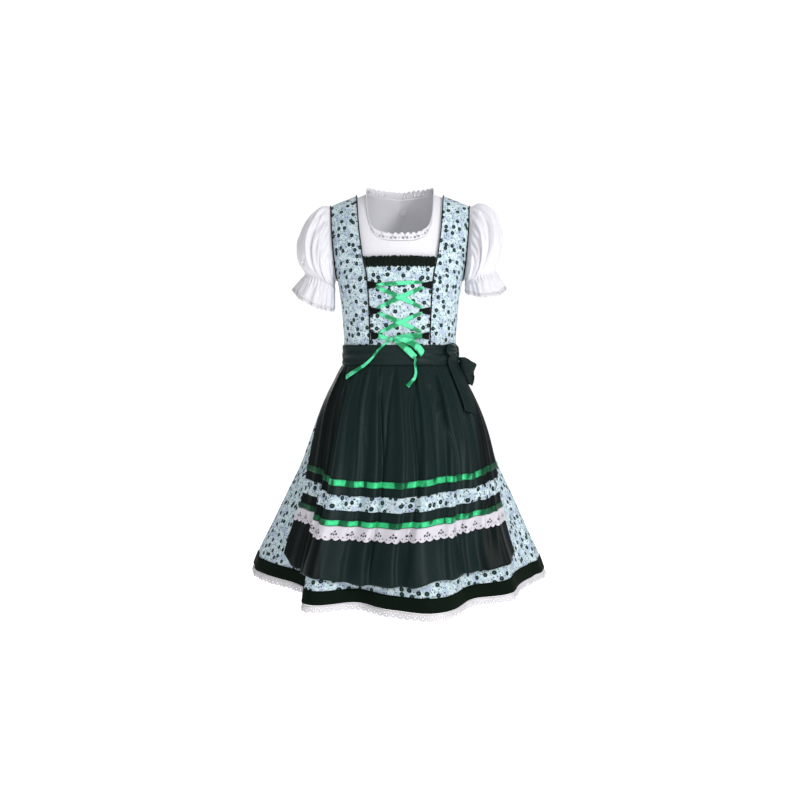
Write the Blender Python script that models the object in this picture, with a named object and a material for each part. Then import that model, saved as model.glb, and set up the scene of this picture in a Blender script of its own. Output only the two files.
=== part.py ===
# Child's dirndl dress with its blouse and apron, hollow, in the pose it has when worn.
# Metres, +Z up. The front faces -Y and the wearer's left is +X.
# The origin lies between the shoulders, at the height where the straps rest on them.
# Angles are in degrees round the body: 0 is the front, 90 the wearer's left, 180 the back.

import math
from collections import namedtuple

import bmesh
import bpy
from mathutils import Vector
from mathutils.bvhtree import BVHTree

# Cloth and seams
CLOTH = 0.0012
RIBBON = 0.0010
RIBBON_REACH = 0.0090
SEAM_GAP = 0.0003
PIPING_RADIUS = 0.0011
SEAM_ANGLE = 0.08
BAND_FOLD = 0.0012

# Heights of the fitted body
WAIST_SEAM = -0.3250
ARMPIT = -0.1680
STRAP_TOP = 0.0
NECK_POINT = 0.0905
NECK_POINT_HEIGHT = 0.0075
SHOULDER_SLOPE = 0.40
ROUND_OVER = 4.0

# Skirt and apron
SKIRT_TOP = WAIST_SEAM - SEAM_GAP
HEM_BAND_HEIGHT = 0.025
HEM_LACE_HEIGHT = 0.014
WAISTBAND_TOP = -0.3043
WAISTBAND_BOTTOM = -0.3425
WAISTBAND_LIFT = 0.0030
APRON_GAP = 0.0006
APRON_TOP = WAISTBAND_BOTTOM - APRON_GAP
APRON_NEAR = 0.0042
APRON_FAR = 0.0100
APRON_FOLLOWS = 0.80
SCALLOP_PITCH = 0.031
SCALLOP_DEPTH = 0.0055

# Trims of the apron, as distances of their upper and lower edges above its hem
UPPER_RIBBON = (0.1800, 0.1685)
PRINT_BAND = (0.1520, 0.1252)
LOWER_RIBBON = (0.1072, 0.0972)
APRON_LACE = (0.0972, 0.0715)

# Small lace at the neck, and the label inside the back of the neck
LACE_GAP = 0.0008
NECK_SCALLOP_PITCH = 0.0190
NECK_SCALLOP_DEPTH = 0.0022
LABEL_CELL_ROW = 1
LABEL_ROWS = (0.15, 0.55)
LABEL_PARTS = (-0.95, -0.05)

BodyRow = namedtuple("BodyRow", "height half_width front_depth back_depth")
BODY = [
    BodyRow(-0.3450, 0.1172, 0.0850, 0.0850),
    BodyRow(-0.3000, 0.1166, 0.0862, 0.0838),
    BodyRow(-0.2370, 0.1208, 0.0930, 0.0830),
    BodyRow(-0.1680, 0.1305, 0.1000, 0.0880),
    BodyRow(-0.1260, 0.1420, 0.0990, 0.0900),
    BodyRow(-0.0650, 0.1515, 0.0900, 0.0870),
    BodyRow(0.0000, 0.1550, 0.0760, 0.0760),
]

SkirtRow = namedtuple("SkirtRow", "height half_width half_depth")
SKIRT = [
    SkirtRow(-0.3250, 0.1168, 0.0848),
    SkirtRow(-0.3425, 0.1174, 0.0852),
    SkirtRow(-0.3650, 0.1270, 0.0950),
    SkirtRow(-0.4000, 0.1450, 0.1130),
    SkirtRow(-0.4330, 0.1600, 0.1290),
    SkirtRow(-0.4830, 0.1790, 0.1480),
    SkirtRow(-0.5500, 0.2040, 0.1720),
    SkirtRow(-0.6110, 0.2330, 0.1920),
    SkirtRow(-0.6850, 0.2670, 0.2170),
    SkirtRow(-0.7430, 0.2940, 0.2370),
    SkirtRow(-0.8100, 0.3170, 0.2560),
]

HemRow = namedtuple("HemRow", "angle height")
HEM = [
    HemRow(-180, -0.790),
    HemRow(-135, -0.786),
    HemRow(-90, -0.767),
    HemRow(-60, -0.776),
    HemRow(-33, -0.790),
    HemRow(0, -0.791),
    HemRow(34, -0.786),
    HemRow(48, -0.775),
    HemRow(62, -0.772),
    HemRow(90, -0.766),
    HemRow(135, -0.786),
    HemRow(180, -0.790),
]

# Large folds of the skirt: depth at the hem, width on either side, how far up they begin, and
# how far round the body they lean from the hem to the waist
FoldRow = namedtuple("FoldRow", "angle depth before after top lean", defaults=(0.0,))
SKIRT_FOLDS = [
    FoldRow(-100, 0.012, 12, 12, 0.10),
    FoldRow(-46.5, -0.064, 43, 12, 0.04, 7.0),
    FoldRow(-31.5, 0.010, 9, 10, 0.05, 7.0),
    FoldRow(-17, -0.042, 15, 16, 0.10),
    FoldRow(10, 0.030, 14, 18, 0.06),
    FoldRow(31, -0.034, 17, 15, 0.12),
    FoldRow(44, 0.006, 8, 8, 0.30),
    FoldRow(60, -0.023, 21, 27, 0.15),
    FoldRow(97, -0.009, 18, 14, 0.10),
    FoldRow(114, -0.026, 14, 12, 0.10),
    FoldRow(131, 0.018, 12, 12, 0.16),
    FoldRow(149, -0.032, 15, 13, 0.08),
    FoldRow(167, 0.020, 13, 14, 0.14),
    FoldRow(186, -0.026, 13, 12, 0.10),
    FoldRow(203, 0.022, 12, 13, 0.10),
    FoldRow(222, -0.034, 14, 13, 0.07),
    FoldRow(240, 0.016, 12, 10, 0.18),
]
GATHER_HEIGHT = 0.0022
GATHER_WAVES = 26

# Edges of the fitted panels, from the waist seam (level 0) past the armpit (1) to the shoulder (2)
EdgeRow = namedtuple("EdgeRow", "level angle")
FRONT_SEAM = [
    EdgeRow(0.00, 31.5),
    EdgeRow(0.50, 30.7),
    EdgeRow(1.00, 30.4),
    EdgeRow(1.14, 31.8),
    EdgeRow(1.27, 32.5),
    EdgeRow(1.41, 33.3),
    EdgeRow(2.00, 35.7),
]
FRONT_ARMHOLE = [
    EdgeRow(0.00, 90.0),
    EdgeRow(1.00, 90.0),
    EdgeRow(1.03, 84.0),
    EdgeRow(1.09, 77.0),
    EdgeRow(1.20, 71.0),
    EdgeRow(1.40, 68.0),
    EdgeRow(1.70, 68.0),
    EdgeRow(2.00, 70.4),
]
BACK_ARMHOLE = [
    EdgeRow(0.00, 90.0),
    EdgeRow(1.00, 90.0),
    EdgeRow(1.03, 85.0),
    EdgeRow(1.09, 79.0),
    EdgeRow(1.20, 74.0),
    EdgeRow(1.40, 70.0),
    EdgeRow(1.70, 69.0),
    EdgeRow(2.00, 70.4),
]

# Necklines from the centre to the shoulder, as real half widths and heights
NeckRow = namedtuple("NeckRow", "half_width height")
BLOUSE_NECK_FRONT = [
    NeckRow(0.0000, -0.0935),
    NeckRow(0.0270, -0.0925),
    NeckRow(0.0465, -0.0865),
    NeckRow(0.0600, -0.0730),
    NeckRow(0.0670, -0.0500),
    NeckRow(0.0708, -0.0190),
    NeckRow(0.0727, 0.0065),
    NeckRow(0.0735, 0.0143),
]
BLOUSE_NECK_BACK = [
    NeckRow(0.0000, 0.0120),
    NeckRow(0.0160, 0.0122),
    NeckRow(0.0310, 0.0128),
    NeckRow(0.0450, 0.0135),
    NeckRow(0.0565, 0.0143),
    NeckRow(0.0660, 0.0149),
    NeckRow(0.0710, 0.0149),
    NeckRow(0.0735, 0.0143),
]
BODICE_NECK_BACK = [
    NeckRow(0.0000, -0.0560),
    NeckRow(0.0300, -0.0548),
    NeckRow(0.0560, -0.0490),
    NeckRow(0.0745, -0.0345),
    NeckRow(0.0832, -0.0175),
    NeckRow(0.0868, -0.0070),
    NeckRow(0.0890, 0.0020),
    NeckRow(0.0905, 0.0075),
]
BLOUSE_LIFT = -0.0048
BLOUSE_BOTTOM = 0.70
NECK_LACE_HEIGHT = 0.0135

# Sleeve rings: the outer (top) and inner (under) side seen from the front, and half the depth
SleeveRow = namedtuple("SleeveRow", "outer_x outer_z inner_x inner_z half_depth hold droop")
SLEEVE_RIGHT = [
    SleeveRow(0.1505, -0.0135, 0.1340, -0.1655, 0.033, 1.00, 0.000),
    SleeveRow(0.1680, -0.0190, 0.1362, -0.1690, 0.046, 0.60, 0.000),
    SleeveRow(0.1930, -0.0420, 0.1366, -0.1725, 0.056, 0.25, 0.000),
    SleeveRow(0.2095, -0.0740, 0.1368, -0.1755, 0.060, 0.08, 0.000),
    SleeveRow(0.2160, -0.1060, 0.1370, -0.1785, 0.057, 0.00, 0.000),
    SleeveRow(0.2110, -0.1350, 0.1375, -0.1815, 0.047, 0.00, 0.000),
    SleeveRow(0.1975, -0.1550, 0.1380, -0.1845, 0.034, 0.00, 0.000),
    SleeveRow(0.2060, -0.1680, 0.1378, -0.2000, 0.040, 0.00, 0.006),
    SleeveRow(0.2180, -0.1830, 0.1378, -0.2200, 0.046, 0.00, 0.014),
    SleeveRow(0.2225, -0.1925, 0.1380, -0.2300, 0.047, 0.00, 0.019),
]
SLEEVE_LEFT = [
    SleeveRow(0.1505, -0.0135, 0.1340, -0.1655, 0.033, 1.00, 0.000),
    SleeveRow(0.1700, -0.0100, 0.1362, -0.1675, 0.046, 0.60, 0.000),
    SleeveRow(0.1960, -0.0240, 0.1366, -0.1692, 0.056, 0.25, 0.000),
    SleeveRow(0.2105, -0.0560, 0.1368, -0.1707, 0.059, 0.08, 0.000),
    SleeveRow(0.2130, -0.0900, 0.1370, -0.1722, 0.056, 0.00, 0.000),
    SleeveRow(0.2090, -0.1220, 0.1375, -0.1737, 0.046, 0.00, 0.000),
    SleeveRow(0.1985, -0.1460, 0.1380, -0.1752, 0.034, 0.00, 0.000),
    SleeveRow(0.2060, -0.1620, 0.1378, -0.1785, 0.040, 0.00, 0.006),
    SleeveRow(0.2170, -0.1800, 0.1378, -0.1832, 0.045, 0.00, 0.015),
    SleeveRow(0.2215, -0.1900, 0.1380, -0.1880, 0.046, 0.00, 0.018),
]
SLEEVE_INNER_LIFT = -0.0048
SLEEVE_OUTER_LIFT = 0.0035
SLEEVE_CLEAR = 0.0026
SLEEVE_COLUMNS = 28
RUFFLE_WAVES = 7
RUFFLE_SPREAD = 0.075
CUFF_SCALLOP = 0.0014
UNDERARM_REACH = 0.02
PINCH_ROW = 6
RUFFLE_END_ROW = 8

# Edges of the apron across the skirt, from its waist (0) to its hem (1)
ApronRow = namedtuple("ApronRow", "down right_edge left_edge")
APRON_EDGES = [
    ApronRow(0.00, -86.0, 86.0),
    ApronRow(0.25, -80.5, 83.0),
    ApronRow(0.52, -70.0, 72.0),
    ApronRow(0.76, -62.3, 58.0),
    ApronRow(0.83, -63.2, 56.5),
    ApronRow(0.93, -62.8, 54.8),
    ApronRow(1.00, -62.0, 54.3),
]
# The line that the trims run parallel to, and the hem below them, which waves on its own
ApronHemRow = namedtuple("ApronHemRow", "across height")
APRON_LINE = [
    ApronHemRow(0.00, -0.7270),
    ApronHemRow(0.10, -0.7300),
    ApronHemRow(0.17, -0.7370),
    ApronHemRow(0.235, -0.7425),
    ApronHemRow(0.35, -0.7468),
    ApronHemRow(0.50, -0.7456),
    ApronHemRow(0.60, -0.7385),
    ApronHemRow(0.75, -0.7360),
    ApronHemRow(0.87, -0.7276),
    ApronHemRow(1.00, -0.7225),
]
APRON_HEM = [
    ApronHemRow(0.00, -0.7200),
    ApronHemRow(0.03, -0.7290),
    ApronHemRow(0.07, -0.7400),
    ApronHemRow(0.14, -0.7440),
    ApronHemRow(0.24, -0.7370),
    ApronHemRow(0.30, -0.7440),
    ApronHemRow(0.40, -0.7525),
    ApronHemRow(0.545, -0.7470),
    ApronHemRow(0.64, -0.7345),
    ApronHemRow(0.81, -0.7335),
    ApronHemRow(0.95, -0.7190),
    ApronHemRow(1.00, -0.7100),
]
# Tucks of the apron: where they lie across it, height and width at the waist and at the hem
TuckRow = namedtuple("TuckRow", "across waist_height hem_height waist_width hem_width")
APRON_TUCKS = [
    TuckRow(0.080, 0.0018, 0.0030, 0.022, 0.040),
    TuckRow(0.160, 0.0022, 0.0050, 0.022, 0.045),
    TuckRow(0.240, 0.0024, 0.0060, 0.022, 0.050),
    TuckRow(0.315, 0.0028, 0.0050, 0.022, 0.035),
    TuckRow(0.385, 0.0036, 0.0095, 0.022, 0.050),
    TuckRow(0.489, 0.0036, 0.0060, 0.021, 0.038),
    TuckRow(0.598, 0.0040, 0.0105, 0.023, 0.055),
    TuckRow(0.712, 0.0036, 0.0080, 0.023, 0.050),
    TuckRow(0.790, 0.0024, 0.0050, 0.021, 0.036),
    TuckRow(0.860, 0.0020, 0.0050, 0.021, 0.040),
    TuckRow(0.930, 0.0018, 0.0030, 0.021, 0.035),
]

# Lacing: heights of the loops, and the stretches of ribbon between them
LOOP_HEIGHTS = (-0.184, -0.236, -0.286)
LOOP_BASE = 0.0160
LOOP_TIP = 0.0082
LOOP_ANGLES = (29.6, 19.9)
LOOP_GAP = 0.0006
LACING_WIDTH = 0.0098
LACING_ANGLE = 20.2
LaceRow = namedtuple("LaceRow", "name right_height left_height")
LACING = [
    LaceRow("lacing_bar_top", -0.1835, -0.1780),
    LaceRow("lacing_cross_1a", -0.1880, -0.2300),
    LaceRow("lacing_cross_1b", -0.2300, -0.1885),
    LaceRow("lacing_cross_2a", -0.2395, -0.2780),
    LaceRow("lacing_cross_2b", -0.2800, -0.2390),
]

# Ribbons that lie over the front: angle and height of the centre line, width, rise over what is below
RibbonRow = namedtuple("RibbonRow", "angle height width rise")
LACING_END_RIGHT = [
    RibbonRow(-20.6, -0.2860, 0.0095, 0.0000),
    RibbonRow(-16.5, -0.2885, 0.0090, 0.0002),
    RibbonRow(-12.0, -0.2905, 0.0070, 0.0004),
]
LACING_END_LEFT = [
    RibbonRow(20.8, -0.2850, 0.0105, 0.0000),
    RibbonRow(14.0, -0.2865, 0.0120, 0.0002),
    RibbonRow(4.0, -0.2880, 0.0110, 0.0003),
    RibbonRow(-4.6, -0.2895, 0.0070, 0.0004),
]
BOW_LOOP_LOWER = [
    RibbonRow(-4.6, -0.2945, 0.0060, 0.0000),
    RibbonRow(0.0, -0.3010, 0.0105, 0.0004),
    RibbonRow(6.5, -0.3130, 0.0125, 0.0006),
    RibbonRow(12.0, -0.3250, 0.0110, 0.0012),
    RibbonRow(14.0, -0.3285, 0.0105, 0.0030),
    RibbonRow(12.0, -0.3250, 0.0110, 0.0048),
    RibbonRow(6.5, -0.3130, 0.0125, 0.0056),
    RibbonRow(0.0, -0.3010, 0.0105, 0.0050),
    RibbonRow(-4.6, -0.2945, 0.0060, 0.0030),
]
BOW_LOOP_UPPER = [
    RibbonRow(-4.6, -0.2900, 0.0060, -0.0006),
    RibbonRow(3.0, -0.2935, 0.0105, -0.0003),
    RibbonRow(11.0, -0.3010, 0.0125, -0.0003),
    RibbonRow(17.5, -0.3155, 0.0115, 0.0002),
    RibbonRow(20.0, -0.3240, 0.0105, 0.0036),
    RibbonRow(17.5, -0.3155, 0.0115, 0.0066),
    RibbonRow(11.0, -0.3010, 0.0125, 0.0062),
    RibbonRow(3.0, -0.2935, 0.0105, 0.0048),
    RibbonRow(-4.6, -0.2900, 0.0060, 0.0022),
]
BOW_TAIL_RIGHT = [
    RibbonRow(-12.4, -0.2985, 0.0040, 0.0004),
    RibbonRow(-19.9, -0.3126, 0.0040, 0.0006),
    RibbonRow(-27.4, -0.3305, 0.0045, 0.0006),
    RibbonRow(-35.4, -0.3450, 0.0065, 0.0006),
    RibbonRow(-43.0, -0.3580, 0.0090, 0.0006),
    RibbonRow(-52.0, -0.3700, 0.0100, 0.0006),
]
BOW_TAIL_LEFT = [
    RibbonRow(13.4, -0.3340, 0.0042, -0.0008),
    RibbonRow(14.0, -0.3468, 0.0042, -0.0004),
    RibbonRow(12.9, -0.3600, 0.0045, -0.0004),
    RibbonRow(9.6, -0.3745, 0.0058, -0.0004),
    RibbonRow(5.4, -0.3860, 0.0072, -0.0004),
]
APRON_TIE_FRONT = [
    RibbonRow(98.0, -0.3230, 0.0330, 0.0000),
    RibbonRow(90.5, -0.3225, 0.0300, 0.0004),
    RibbonRow(83.0, -0.3205, 0.0260, 0.0006),
    RibbonRow(76.5, -0.3180, 0.0200, 0.0008),
]
TIE_TAIL = [
    RibbonRow(65.0, -0.3320, 0.0260, 0.0004),
    RibbonRow(64.0, -0.3480, 0.0330, 0.0010),
    RibbonRow(60.0, -0.3700, 0.0350, 0.0012),
    RibbonRow(56.5, -0.3920, 0.0350, 0.0012),
    RibbonRow(54.0, -0.4150, 0.0340, 0.0012),
    RibbonRow(52.0, -0.4400, 0.0330, 0.0012),
]
# The loop is a strip doubled back on itself, its fold away from the body: nearest and farthest
# reach over what lies beneath, and half its width round the body
LoopRow = namedtuple("LoopRow", "angle height inner outer spread")
TIE_LOOP = [
    LoopRow(79.5, -0.3300, -0.0002, 0.0090, 2.0),
    LoopRow(81.5, -0.3375, -0.0002, 0.0250, 3.5),
    LoopRow(83.5, -0.3440, -0.0002, 0.0335, 5.0),
    LoopRow(85.0, -0.3530, 0.0000, 0.0325, 6.0),
    LoopRow(86.0, -0.3640, 0.0000, 0.0230, 6.0),
    LoopRow(86.0, -0.3750, 0.0000, 0.0165, 5.5),
    LoopRow(85.5, -0.3870, 0.0000, 0.0080, 4.0),
]
TIE_LOOP_COLUMNS = 6
TIE_LOOP_ROUNDING = 2.6

KnotRow = namedtuple("KnotRow", "name angle height rise across tall deep subdivisions")
KNOTS = [
    KnotRow("bow_knot", -8.3, -0.2925, 0.0041, 0.0052, 0.0056, 0.0038, 1),
    KnotRow("tie_knot", 65.0, -0.3145, 0.0082, 0.0190, 0.0150, 0.0075, 2),
]

# Colour, roughness and metallic value of each cloth
ClothRow = namedtuple("ClothRow", "colour roughness metallic")
CLOTHS = {
    "print": ClothRow((0.62, 0.74, 0.78), 0.80, 0.0),
    "taffeta": ClothRow((0.016, 0.026, 0.024), 0.45, 0.0),
    "hem_band": ClothRow((0.008, 0.024, 0.013), 0.70, 0.0),
    "front_band": ClothRow((0.012, 0.020, 0.014), 0.60, 0.0),
    "piping": ClothRow((0.006, 0.007, 0.007), 0.60, 0.0),
    "satin": ClothRow((0.02, 0.52, 0.22), 0.30, 0.0),
    "metallic_ribbon": ClothRow((0.02, 0.42, 0.17), 0.32, 0.35),
    "cotton": ClothRow((0.86, 0.85, 0.90), 0.85, 0.0),
    "lace": ClothRow((0.88, 0.87, 0.90), 0.85, 0.0),
}

built = {}


def blend(a, b, share):
    return a + (b - a) * share


def smooth_step(value):
    value = min(max(value, 0.0), 1.0)
    return value * value * (3.0 - 2.0 * value)


def table_value(rows, key, column, at):
    # Reads a smooth curve through the rows of a table, which are sorted by their key.
    ordered = sorted(rows, key=lambda row: getattr(row, key))
    keys = [getattr(row, key) for row in ordered]
    values = [getattr(row, column) for row in ordered]
    at = min(max(at, keys[0]), keys[-1])
    last = len(keys) - 1
    spot = 0
    while spot < last - 1 and at > keys[spot + 1]:
        spot += 1
    steps = [(values[i + 1] - values[i]) / (keys[i + 1] - keys[i]) for i in range(last)]

    def slope(i):
        if i == 0:
            return steps[0]
        if i == last:
            return steps[-1]
        if steps[i - 1] * steps[i] <= 0.0:
            return 0.0
        return 2.0 * steps[i - 1] * steps[i] / (steps[i - 1] + steps[i])

    width = keys[spot + 1] - keys[spot]
    share = (at - keys[spot]) / width
    square = share * share
    cube = square * share
    start = (2.0 * cube - 3.0 * square + 1.0) * values[spot]
    leave = (cube - 2.0 * square + share) * width * slope(spot)
    arrive = (cube - square) * width * slope(spot + 1)
    end = (3.0 * square - 2.0 * cube) * values[spot + 1]
    return start + leave + arrive + end


def wrap(angle):
    return (angle + 180.0) % 360.0 - 180.0


# The fitted body

def shoulder_height(x):
    return NECK_POINT_HEIGHT - SHOULDER_SLOPE * (abs(x) - NECK_POINT)


def body_point(angle, level, lift=0.0):
    # Levels run from the waist seam (0) past the armpit (1) to the top of the shoulder (2).
    turn = math.radians(angle)
    if level <= 1.0:
        flat_height = blend(WAIST_SEAM, ARMPIT, level)
        rise = 0.0
        share = 1.0
    else:
        rise = math.sin(math.radians(90.0 * (level - 1.0)))
        flat_height = blend(ARMPIT, STRAP_TOP, rise)
        share = math.sqrt(max(0.0, 1.0 - rise ** ROUND_OVER))
        if level > 2.0:
            share = -share
    depth_column = "front_depth" if math.cos(turn) >= 0.0 else "back_depth"
    half_width = table_value(BODY, "height", "half_width", flat_height) + lift
    depth = table_value(BODY, "height", depth_column, flat_height) + lift
    x = half_width * math.sin(turn)
    y = -depth * math.cos(turn) * share
    z = flat_height
    if level > 1.0:
        z = ARMPIT + (shoulder_height(x) + lift - ARMPIT) * rise
    return Vector((x, y, z))


def body_normal(angle, level, lift=0.0):
    small = 0.02
    across = body_point(angle + 5.0 * small, level, lift) - body_point(angle - 5.0 * small, level, lift)
    up = body_point(angle, level + small, lift) - body_point(angle, level - small, lift)
    return across.cross(up).normalized()


def level_of_height(height):
    # The level at which the fitted body below the armpit has a given height
    return (height - WAIST_SEAM) / (ARMPIT - WAIST_SEAM)


def level_at(angle, height):
    # The level above the armpit at which the fitted body has a given real height at an angle
    rise = 0.0
    for _ in range(5):
        half_width = table_value(BODY, "height", "half_width", blend(ARMPIT, STRAP_TOP, rise))
        x = half_width * math.sin(math.radians(angle))
        rise = (height - ARMPIT) / (shoulder_height(x) - ARMPIT)
    return 1.0 + math.degrees(math.asin(rise)) / 90.0


def place_on_body(x, z, back=False):
    # Angle and level of a point that is seen at x and z from the front or the back
    if z <= ARMPIT:
        level = level_of_height(z)
        flat_height = z
    else:
        rise = min((z - ARMPIT) / (shoulder_height(x) - ARMPIT), 1.0)
        level = 1.0 + math.degrees(math.asin(rise)) / 90.0
        flat_height = blend(ARMPIT, STRAP_TOP, rise)
    half_width = table_value(BODY, "height", "half_width", flat_height)
    angle = math.degrees(math.asin(max(-1.0, min(1.0, x / half_width))))
    if back:
        angle = 180.0 - angle
    return angle, level


# Walls of cloth

def grid_normals(grid, ring=False):
    # Normals of a grid of points: rows run up or down the cloth, columns run round it.
    rows = len(grid)
    columns = len(grid[0])
    normals = []
    for r in range(rows):
        line = []
        for c in range(columns):
            point = grid[r][c]
            if ring:
                before = grid[r][(c - 1) % columns]
                after = grid[r][(c + 1) % columns]
            else:
                before = grid[r][max(c - 1, 0)]
                after = grid[r][min(c + 1, columns - 1)]
            above = grid[max(r - 1, 0)][c]
            below = grid[min(r + 1, rows - 1)][c]
            across = (after - point).normalized() + (point - before).normalized()
            up = (above - point).normalized() + (point - below).normalized()
            line.append(across.cross(up).normalized())
        normals.append(line)
    return normals


def moved(grid, normals, distance):
    return [
        [point + normal * distance for point, normal in zip(row, row_normals)]
        for row, row_normals in zip(grid, normals)
    ]


def make_object(name, vertices, faces, cloth):
    mesh = bpy.data.meshes.new(name)
    mesh.from_pydata([tuple(v) for v in vertices], [], faces)
    shape = bmesh.new()
    shape.from_mesh(mesh)
    bmesh.ops.recalc_face_normals(shape, faces=shape.faces)
    shape.to_mesh(mesh)
    shape.free()
    mesh.shade_smooth()
    mesh.set_sharp_from_angle(angle=math.radians(50.0))
    thing = bpy.data.objects.new(name, mesh)
    bpy.context.collection.objects.link(thing)
    row = CLOTHS[cloth]
    material = bpy.data.materials.new(name + "_cloth")
    material.use_nodes = True
    shader = material.node_tree.nodes["Principled BSDF"]
    shader.inputs["Base Color"].default_value = (*row.colour, 1.0)
    shader.inputs["Roughness"].default_value = row.roughness
    shader.inputs["Metallic"].default_value = row.metallic
    mesh.materials.append(material)
    built[name] = ([Vector(v) for v in vertices], faces)
    return thing


def cloth_wall(name, cloth, grid, normals, inner=-0.5 * CLOTH, outer=0.5 * CLOTH, ring=False):
    # A closed wall between two copies of a grid, moved along the normals by two distances.
    # Both faces are split along the same diagonals, so layers made from one grid stay parallel.
    rows = len(grid)
    columns = len(grid[0])
    skins = [moved(grid, normals, outer), moved(grid, normals, inner)]
    vertices = [point for skin in skins for row in skin for point in row]
    last = columns if ring else columns - 1

    def spot(side, r, c):
        return side * rows * columns + r * columns + c % columns

    faces = []
    for side in (0, 1):
        for r in range(rows - 1):
            for c in range(last):
                a = spot(side, r, c)
                b = spot(side, r, c + 1)
                d = spot(side, r + 1, c)
                e = spot(side, r + 1, c + 1)
                corners = [(a, e, b), (a, d, e)]
                if side:
                    corners = [tuple(reversed(corner)) for corner in corners]
                faces.extend(corners)
    rims = [[(r, c) for c in range(last + 1)] for r in (0, rows - 1)]
    if not ring:
        rims += [[(r, c) for r in range(rows)] for c in (0, columns - 1)]
    for rim in rims:
        for (r, c), (next_r, next_c) in zip(rim, rim[1:]):
            a = spot(0, r, c)
            b = spot(0, next_r, next_c)
            d = spot(1, r, c)
            e = spot(1, next_r, next_c)
            faces.extend([(a, b, e), (a, e, d)])
    return make_object(name, vertices, faces, cloth)


def tube(name, cloth, path, normals, radius, closed=False):
    # A four-sided cord along a path, with its sides turned by the normals of what carries it
    count = len(path)
    vertices = []
    for i in range(count):
        before = path[(i - 1) % count] if closed else path[max(i - 1, 0)]
        after = path[(i + 1) % count] if closed else path[min(i + 1, count - 1)]
        along = (after - before).normalized()
        side = along.cross(normals[i]).normalized()
        up = side.cross(along)
        for direction in (side + up, side - up, -side - up, -side + up):
            vertices.append(path[i] + direction.normalized() * radius)
    faces = []
    last = count if closed else count - 1
    for i in range(last):
        for k in range(4):
            a = i * 4 + k
            b = i * 4 + (k + 1) % 4
            d = ((i + 1) % count) * 4 + k
            e = ((i + 1) % count) * 4 + (k + 1) % 4
            faces.extend([(a, b, e), (a, e, d)])
    if not closed:
        end = (count - 1) * 4
        faces.extend([(0, 2, 1), (0, 3, 2), (end, end + 1, end + 2), (end, end + 2, end + 3)])
    return make_object(name, vertices, faces, cloth)


def body_grid(rows_of_places, lift):
    # rows_of_places holds rows of (angle, level)
    grid = [[body_point(angle, level, lift) for angle, level in row] for row in rows_of_places]
    normals = [[body_normal(angle, level, lift) for angle, level in row] for row in rows_of_places]
    return grid, normals


def between(edge, level):
    return table_value(edge, "level", "angle", level)


# Bodice

TOP_LEVEL = 1.9995
BAND_LEVEL = 0.136
STRAP_LEVELS = (
    0.0, BAND_LEVEL, 0.33, 0.67, 1.0, 1.03, 1.08, 1.155, 1.27, 1.41, 1.56, 1.70, 1.83, 1.93, TOP_LEVEL
)
BACK_LEVELS = (0.0, BAND_LEVEL, 0.33, 0.67, 1.0, 1.03, 1.10, 1.24, 1.40, 1.58, 1.76, 1.90, TOP_LEVEL)
BLOUSE_LEVELS = (BLOUSE_BOTTOM, 1.005, 1.04, 1.09, 1.15, 1.24, 1.40, 1.58, 1.76, 1.90, TOP_LEVEL)
FRONT_TOP_LEVEL = 1.155
FRONT_TOP = -0.1255
FRONT_BAND = (-0.1262, -0.1463)
FRONT_BAND_INSET = 0.9
ARMHOLE_POINTS = 26
PIPING_INSET = -0.0016


def side_panel_places(side, columns=7):
    rows = []
    for level in reversed(STRAP_LEVELS):
        seam = between(FRONT_SEAM, level) + SEAM_ANGLE
        edge = between(FRONT_ARMHOLE, level) - SEAM_ANGLE
        line = [(blend(seam, edge, c / (columns - 1)) * side, level) for c in range(columns)]
        if side < 0:
            line.reverse()
        rows.append(line)
    return rows


def centre_front_places(columns=9):
    rows = []
    levels = [level for level in STRAP_LEVELS if level <= FRONT_TOP_LEVEL]
    for level in reversed(levels):
        seam = between(FRONT_SEAM, level) - SEAM_ANGLE
        rows.append([(blend(-seam, seam, c / (columns - 1)), level) for c in range(columns)])
    rows[0] = [(angle, level_at(angle, FRONT_TOP)) for angle, _ in rows[0]]
    return rows


def relaxed(places, rounds):
    # Draws each inner place of a panel to the middle of its four neighbours, so that the rows
    # below a neckline keep away from it.
    for _ in range(rounds):
        fresh = [list(row) for row in places]
        for r in range(1, len(places) - 1):
            for c in range(1, len(places[0]) - 1):
                near = (places[r - 1][c], places[r + 1][c], places[r][c - 1], places[r][c + 1])
                fresh[r][c] = tuple(sum(place[k] for place in near) / 4.0 for k in (0, 1))
        places = fresh
    return places


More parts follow.
